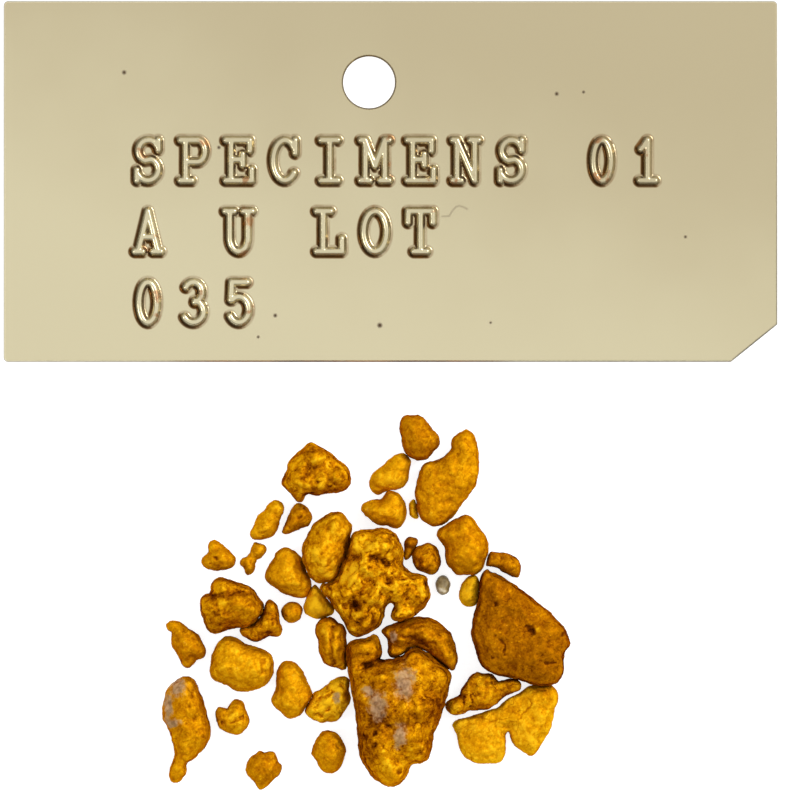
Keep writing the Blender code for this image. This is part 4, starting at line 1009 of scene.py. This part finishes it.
def emboss_tree():
    """Geometry Nodes that push a sheet up along drawn strokes, on its face and its back alike.

    Each point keeps its distance from a stroke, and how far it lies on the strokes' shaded side.
    """
    sheet, given = begin_tree("tag_emboss", Strokes="Object", Crest="Float", Foot="Float", Relief="Float",
                              Draw_Reach="Float", Draw_Height="Float")
    strokes = sheet.add("GeometryNodeObjectInfo", {}, {"Object": given["Strokes"]}, "Geometry")
    where = sheet.add("GeometryNodeInputPosition")
    flat = sheet.vector("MULTIPLY", where, (1, 1, 0))
    away, nearest = (sheet.add("GeometryNodeProximity", {"target_element": "EDGES"},
                               {"Geometry": strokes, "Sample Position": flat}, output)
                     for output in ("Distance", "Position"))
    lee = sheet.vector("DOT_PRODUCT", sheet.vector("SUBTRACT", nearest, flat), TO_WINDOW, "Value")
    ridge = away.fade(given["Foot"], given["Crest"]) * given["Relief"]
    drawn = away.fade(given["Draw Reach"], 0.0) * given["Draw Height"]
    lift = sheet.add("ShaderNodeCombineXYZ", {}, {"Z": ridge.at_least(drawn)})
    kept = given["Geometry"]
    for name, value in (("stroke_away", away), ("lee", lee)):
        kept = sheet.add("GeometryNodeStoreNamedAttribute", {"data_type": "FLOAT", "domain": "POINT"},
                         {"Geometry": kept, "Name": name, "Value": value})
    raised = sheet.add("GeometryNodeSetPosition", {}, {"Geometry": kept, "Offset": lift})
    return end_tree(sheet, raised, given["Finish"])


def make_tag():
    """The tag's fine piece: a flat plate embossed along its text's strokes, with specks and a scratch."""
    s = bpy.context.scene.gold_tag
    rows = text_strokes(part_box("tag_plate")[0].y / MM)
    drawn = bpy.data.meshes.new("tag_strokes")
    points = np.vstack(rows)
    firsts = np.cumsum([0] + [len(row) for row in rows])
    links = [(i, i + 1) for a, b in zip(firsts, firsts[1:]) for i in range(a, b - 1)]
    drawn.from_pydata(np.column_stack([points, np.zeros(len(points))]).tolist(), links, [])
    strokes = show("tag_strokes", drawn)

    mesh, middle = plate_mesh(rows)
    work = show("tag_work", mesh)
    emboss = work.modifiers.new("emboss", "NODES")
    emboss.node_group = emboss_tree()
    give_inputs(emboss, {
        "Strokes": strokes, "Crest": s.crest / MM, "Foot": s.foot / MM, "Relief": s.relief / MM,
        "Draw Reach": s.draw_reach / MM, "Draw Height": s.draw_height / MM, "Finish": tag_finish()})
    mesh = bake(work, "tag_surface")
    bpy.data.objects.remove(strokes)

    points = read_points(mesh, "co")
    plan = points[:, :2] - middle
    soft_edge = 1.6
    speck = SCRATCH_DARKNESS * np.clip(soft_edge - line_distance(plan, SCRATCH) / SCRATCH_WIDTH, 0, 1)
    for x, y, radius in SPECKS:
        away = np.linalg.norm(plan - (x, y), axis=1)
        speck = np.maximum(speck, np.clip(soft_edge - away / radius, 0, 1))
    speck[points[:, 2] < TAG_THICKNESS / 2] = 0
    paint(mesh, "speck", speck)
    mesh.vertices.foreach_set("co", (points * MM).ravel().astype(np.float32))
    mesh.shade_smooth()
    mesh.set_sharp_from_angle(angle=math.radians(40))
    finish_piece(mesh, "tag_surface", "tag_plate")


# ---------------------------------------------------------------- stage

# The table's radius and the height of its turned-up rim, in metres. The rim is the backdrop of a low view.
TABLE_RADIUS = 2.5
RIM_HEIGHT = 0.1

# How far under the model the table lies, in millimetres.
TABLE_UNDER_MODEL = 0.01

# The lamps: name, place in metres, radius and power in watts.
LAMPS = (("key_lamp", (0.42, 0.3, 0.45), 0.14, 1.3), ("fill_lamp", (-0.4, -0.1, 0.42), 0.1, 0.6))


def make_floor():
    """A round white table that glows a little, with a low rim."""
    s = bpy.context.scene.gold_stage
    body = bmesh.new()
    bmesh.ops.create_circle(body, cap_ends=True, segments=96, radius=TABLE_RADIUS)
    edge = bmesh.ops.extrude_edge_only(body, edges=[e for e in body.edges if e.is_boundary])
    for vertex in (v for v in edge["geom"] if isinstance(v, bmesh.types.BMVert)):
        vertex.co.z = RIM_HEIGHT
    mesh = bpy.data.meshes.new("table_top")
    body.to_mesh(mesh)
    body.free()
    made, sheet, shader = new_finish("table_white")
    plug(sheet, shader, Base_Color=(*s.floor, 1), Roughness=0.8, Specular_IOR_Level=0.1,
         Emission_Color=(1, 1, 1, 1), Emission_Strength=0.8)
    mesh.materials.append(made)
    table = show("table_top", mesh)
    table.location.z = CAD_BOX[0][2] - TABLE_UNDER_MODEL * MM


def make_studio():
    """The room: bright overhead, dim at table height and in front, with a round window on the far right."""
    s = bpy.context.scene.gold_stage
    world = bpy.data.worlds.new("studio")
    bpy.context.scene.world = world
    world.use_nodes = True
    sheet = Sheet(world.node_tree)
    direction = sheet.add("ShaderNodeTexCoord", output="Generated")
    height = sheet.add("ShaderNodeSeparateXYZ", {}, {0: direction}, "Z")
    side = sheet.vector("DOT_PRODUCT", direction, (0.75, 0.65, 0), "Value")
    window = sheet.vector("DOT_PRODUCT", direction, (0.58, 0.4, 0.71), "Value")
    # The dim band reaches higher to the left and in front.
    strength = (height + 0.42 * side).fade(0.24, 0.6) * (s.sky - s.horizon) + s.horizon
    strength = strength + s.window * window.fade(0.94, 0.98)
    background = world.node_tree.nodes["Background"]
    background.inputs["Color"].default_value = (1, 1, 1, 1)
    world.node_tree.links.new(strength.socket, background.inputs["Strength"])
    for name, place, radius, power in LAMPS:
        lamp = bpy.data.lights.new(name, "AREA")
        lamp.shape = "DISK"
        lamp.size = 2 * radius
        lamp.energy = power
        holder = show(name, lamp)
        holder.location = place
        holder.rotation_euler = Vector(place).to_track_quat("Z", "Y").to_euler()


def make_camera():
    """A camera that looks straight down from far off."""
    s = bpy.context.scene.gold_stage
    lens = bpy.data.cameras.new("camera")
    lens.sensor_width = 36
    lens.lens = lens.sensor_width * s.camera_height / s.view_height
    lens.clip_start = 0.01
    camera = show("camera", lens)
    camera.location = (s.view_right, -s.view_near, s.camera_height)
    bpy.context.scene.camera = camera
    bpy.context.scene.view_settings.view_transform = "Standard"


# ---------------------------------------------------------------- add-on


class GOLDSAMPLE_OT_stage(bpy.types.Operator):
    """Make the table, the studio light and the camera"""

    bl_idname = "goldsample.stage"
    bl_label = "Stage"

    def execute(self, context):
        make_floor()
        make_studio()
        make_camera()
        return {"FINISHED"}


class GOLDSAMPLE_OT_tag(bpy.types.Operator):
    """Make the embossed metal tag"""

    bl_idname = "goldsample.tag"
    bl_label = "Tag"

    def execute(self, context):
        make_tag()
        return {"FINISHED"}


class GOLDSAMPLE_OT_bright_nuggets(bpy.types.Operator):
    """Make the bright yellow, rough nuggets"""

    bl_idname = "goldsample.bright_nuggets"
    bl_label = "Bright Nuggets"

    def execute(self, context):
        make_nuggets("gold_bright", gold_finish("bright_gold", 1.0, 1.0))
        return {"FINISHED"}


class GOLDSAMPLE_OT_amber_nuggets(bpy.types.Operator):
    """Make the smooth amber nuggets"""

    bl_idname = "goldsample.amber_nuggets"
    bl_label = "Amber Nuggets"

    def execute(self, context):
        make_nuggets("gold_amber", gold_finish("amber_gold", 0.9, 2.0))
        return {"FINISHED"}


class GOLDSAMPLE_OT_deep_nuggets(bpy.types.Operator):
    """Make the dark, iron-stained nuggets"""

    bl_idname = "goldsample.deep_nuggets"
    bl_label = "Deep Nuggets"

    def execute(self, context):
        make_nuggets("gold_deep", gold_finish("deep_gold", 0.8, 3.0))
        return {"FINISHED"}


class GOLDSAMPLE_OT_quartz_nuggets(bpy.types.Operator):
    """Make the nuggets that hold quartz"""

    bl_idname = "goldsample.quartz_nuggets"
    bl_label = "Quartz Nuggets"

    def execute(self, context):
        make_nuggets("gold_quartz", gold_finish("quartz_gold", 0.9, 4.0))
        return {"FINISHED"}


class GOLDSAMPLE_OT_stone_grain(bpy.types.Operator):
    """Make the grey grain of stone"""

    bl_idname = "goldsample.stone_grain"
    bl_label = "Stone Grain"

    def execute(self, context):
        make_nuggets("grey_stone", stone_finish())
        return {"FINISHED"}


OPERATORS = (GOLDSAMPLE_OT_stage, GOLDSAMPLE_OT_tag, GOLDSAMPLE_OT_bright_nuggets,
             GOLDSAMPLE_OT_amber_nuggets, GOLDSAMPLE_OT_deep_nuggets, GOLDSAMPLE_OT_quartz_nuggets,
             GOLDSAMPLE_OT_stone_grain)
SETTINGS = {"gold_stage": StageSettings, "gold_tag": TagSettings, "gold_nuggets": NuggetSettings}


class GOLDSAMPLE_PT_panel(bpy.types.Panel):
    """The sample's settings, and a button for each of its parts"""

    bl_idname = "GOLDSAMPLE_PT_panel"
    bl_label = "Gold Sample"
    bl_space_type = "VIEW_3D"
    bl_region_type = "UI"
    bl_category = "Gold Sample"

    def draw(self, context):
        for operator in OPERATORS:
            self.layout.operator(operator.bl_idname)
        for name, settings in SETTINGS.items():
            box = self.layout.box()
            for field in settings.__annotations__:
                box.prop(getattr(context.scene, name), field)


def register():
    for kind in (*SETTINGS.values(), *OPERATORS, GOLDSAMPLE_PT_panel):
        bpy.utils.register_class(kind)
    for name, settings in SETTINGS.items():
        setattr(bpy.types.Scene, name, PointerProperty(type=settings))


def unregister():
    for name in SETTINGS:
        delattr(bpy.types.Scene, name)
    for kind in (GOLDSAMPLE_PT_panel, *reversed(OPERATORS), *reversed(SETTINGS.values())):
        bpy.utils.unregister_class(kind)


def main():
    register()
    for operator in OPERATORS:
        group, name = operator.bl_idname.split(".")
        getattr(getattr(bpy.ops, group), name)()


if __name__ == "__main__":
    main()
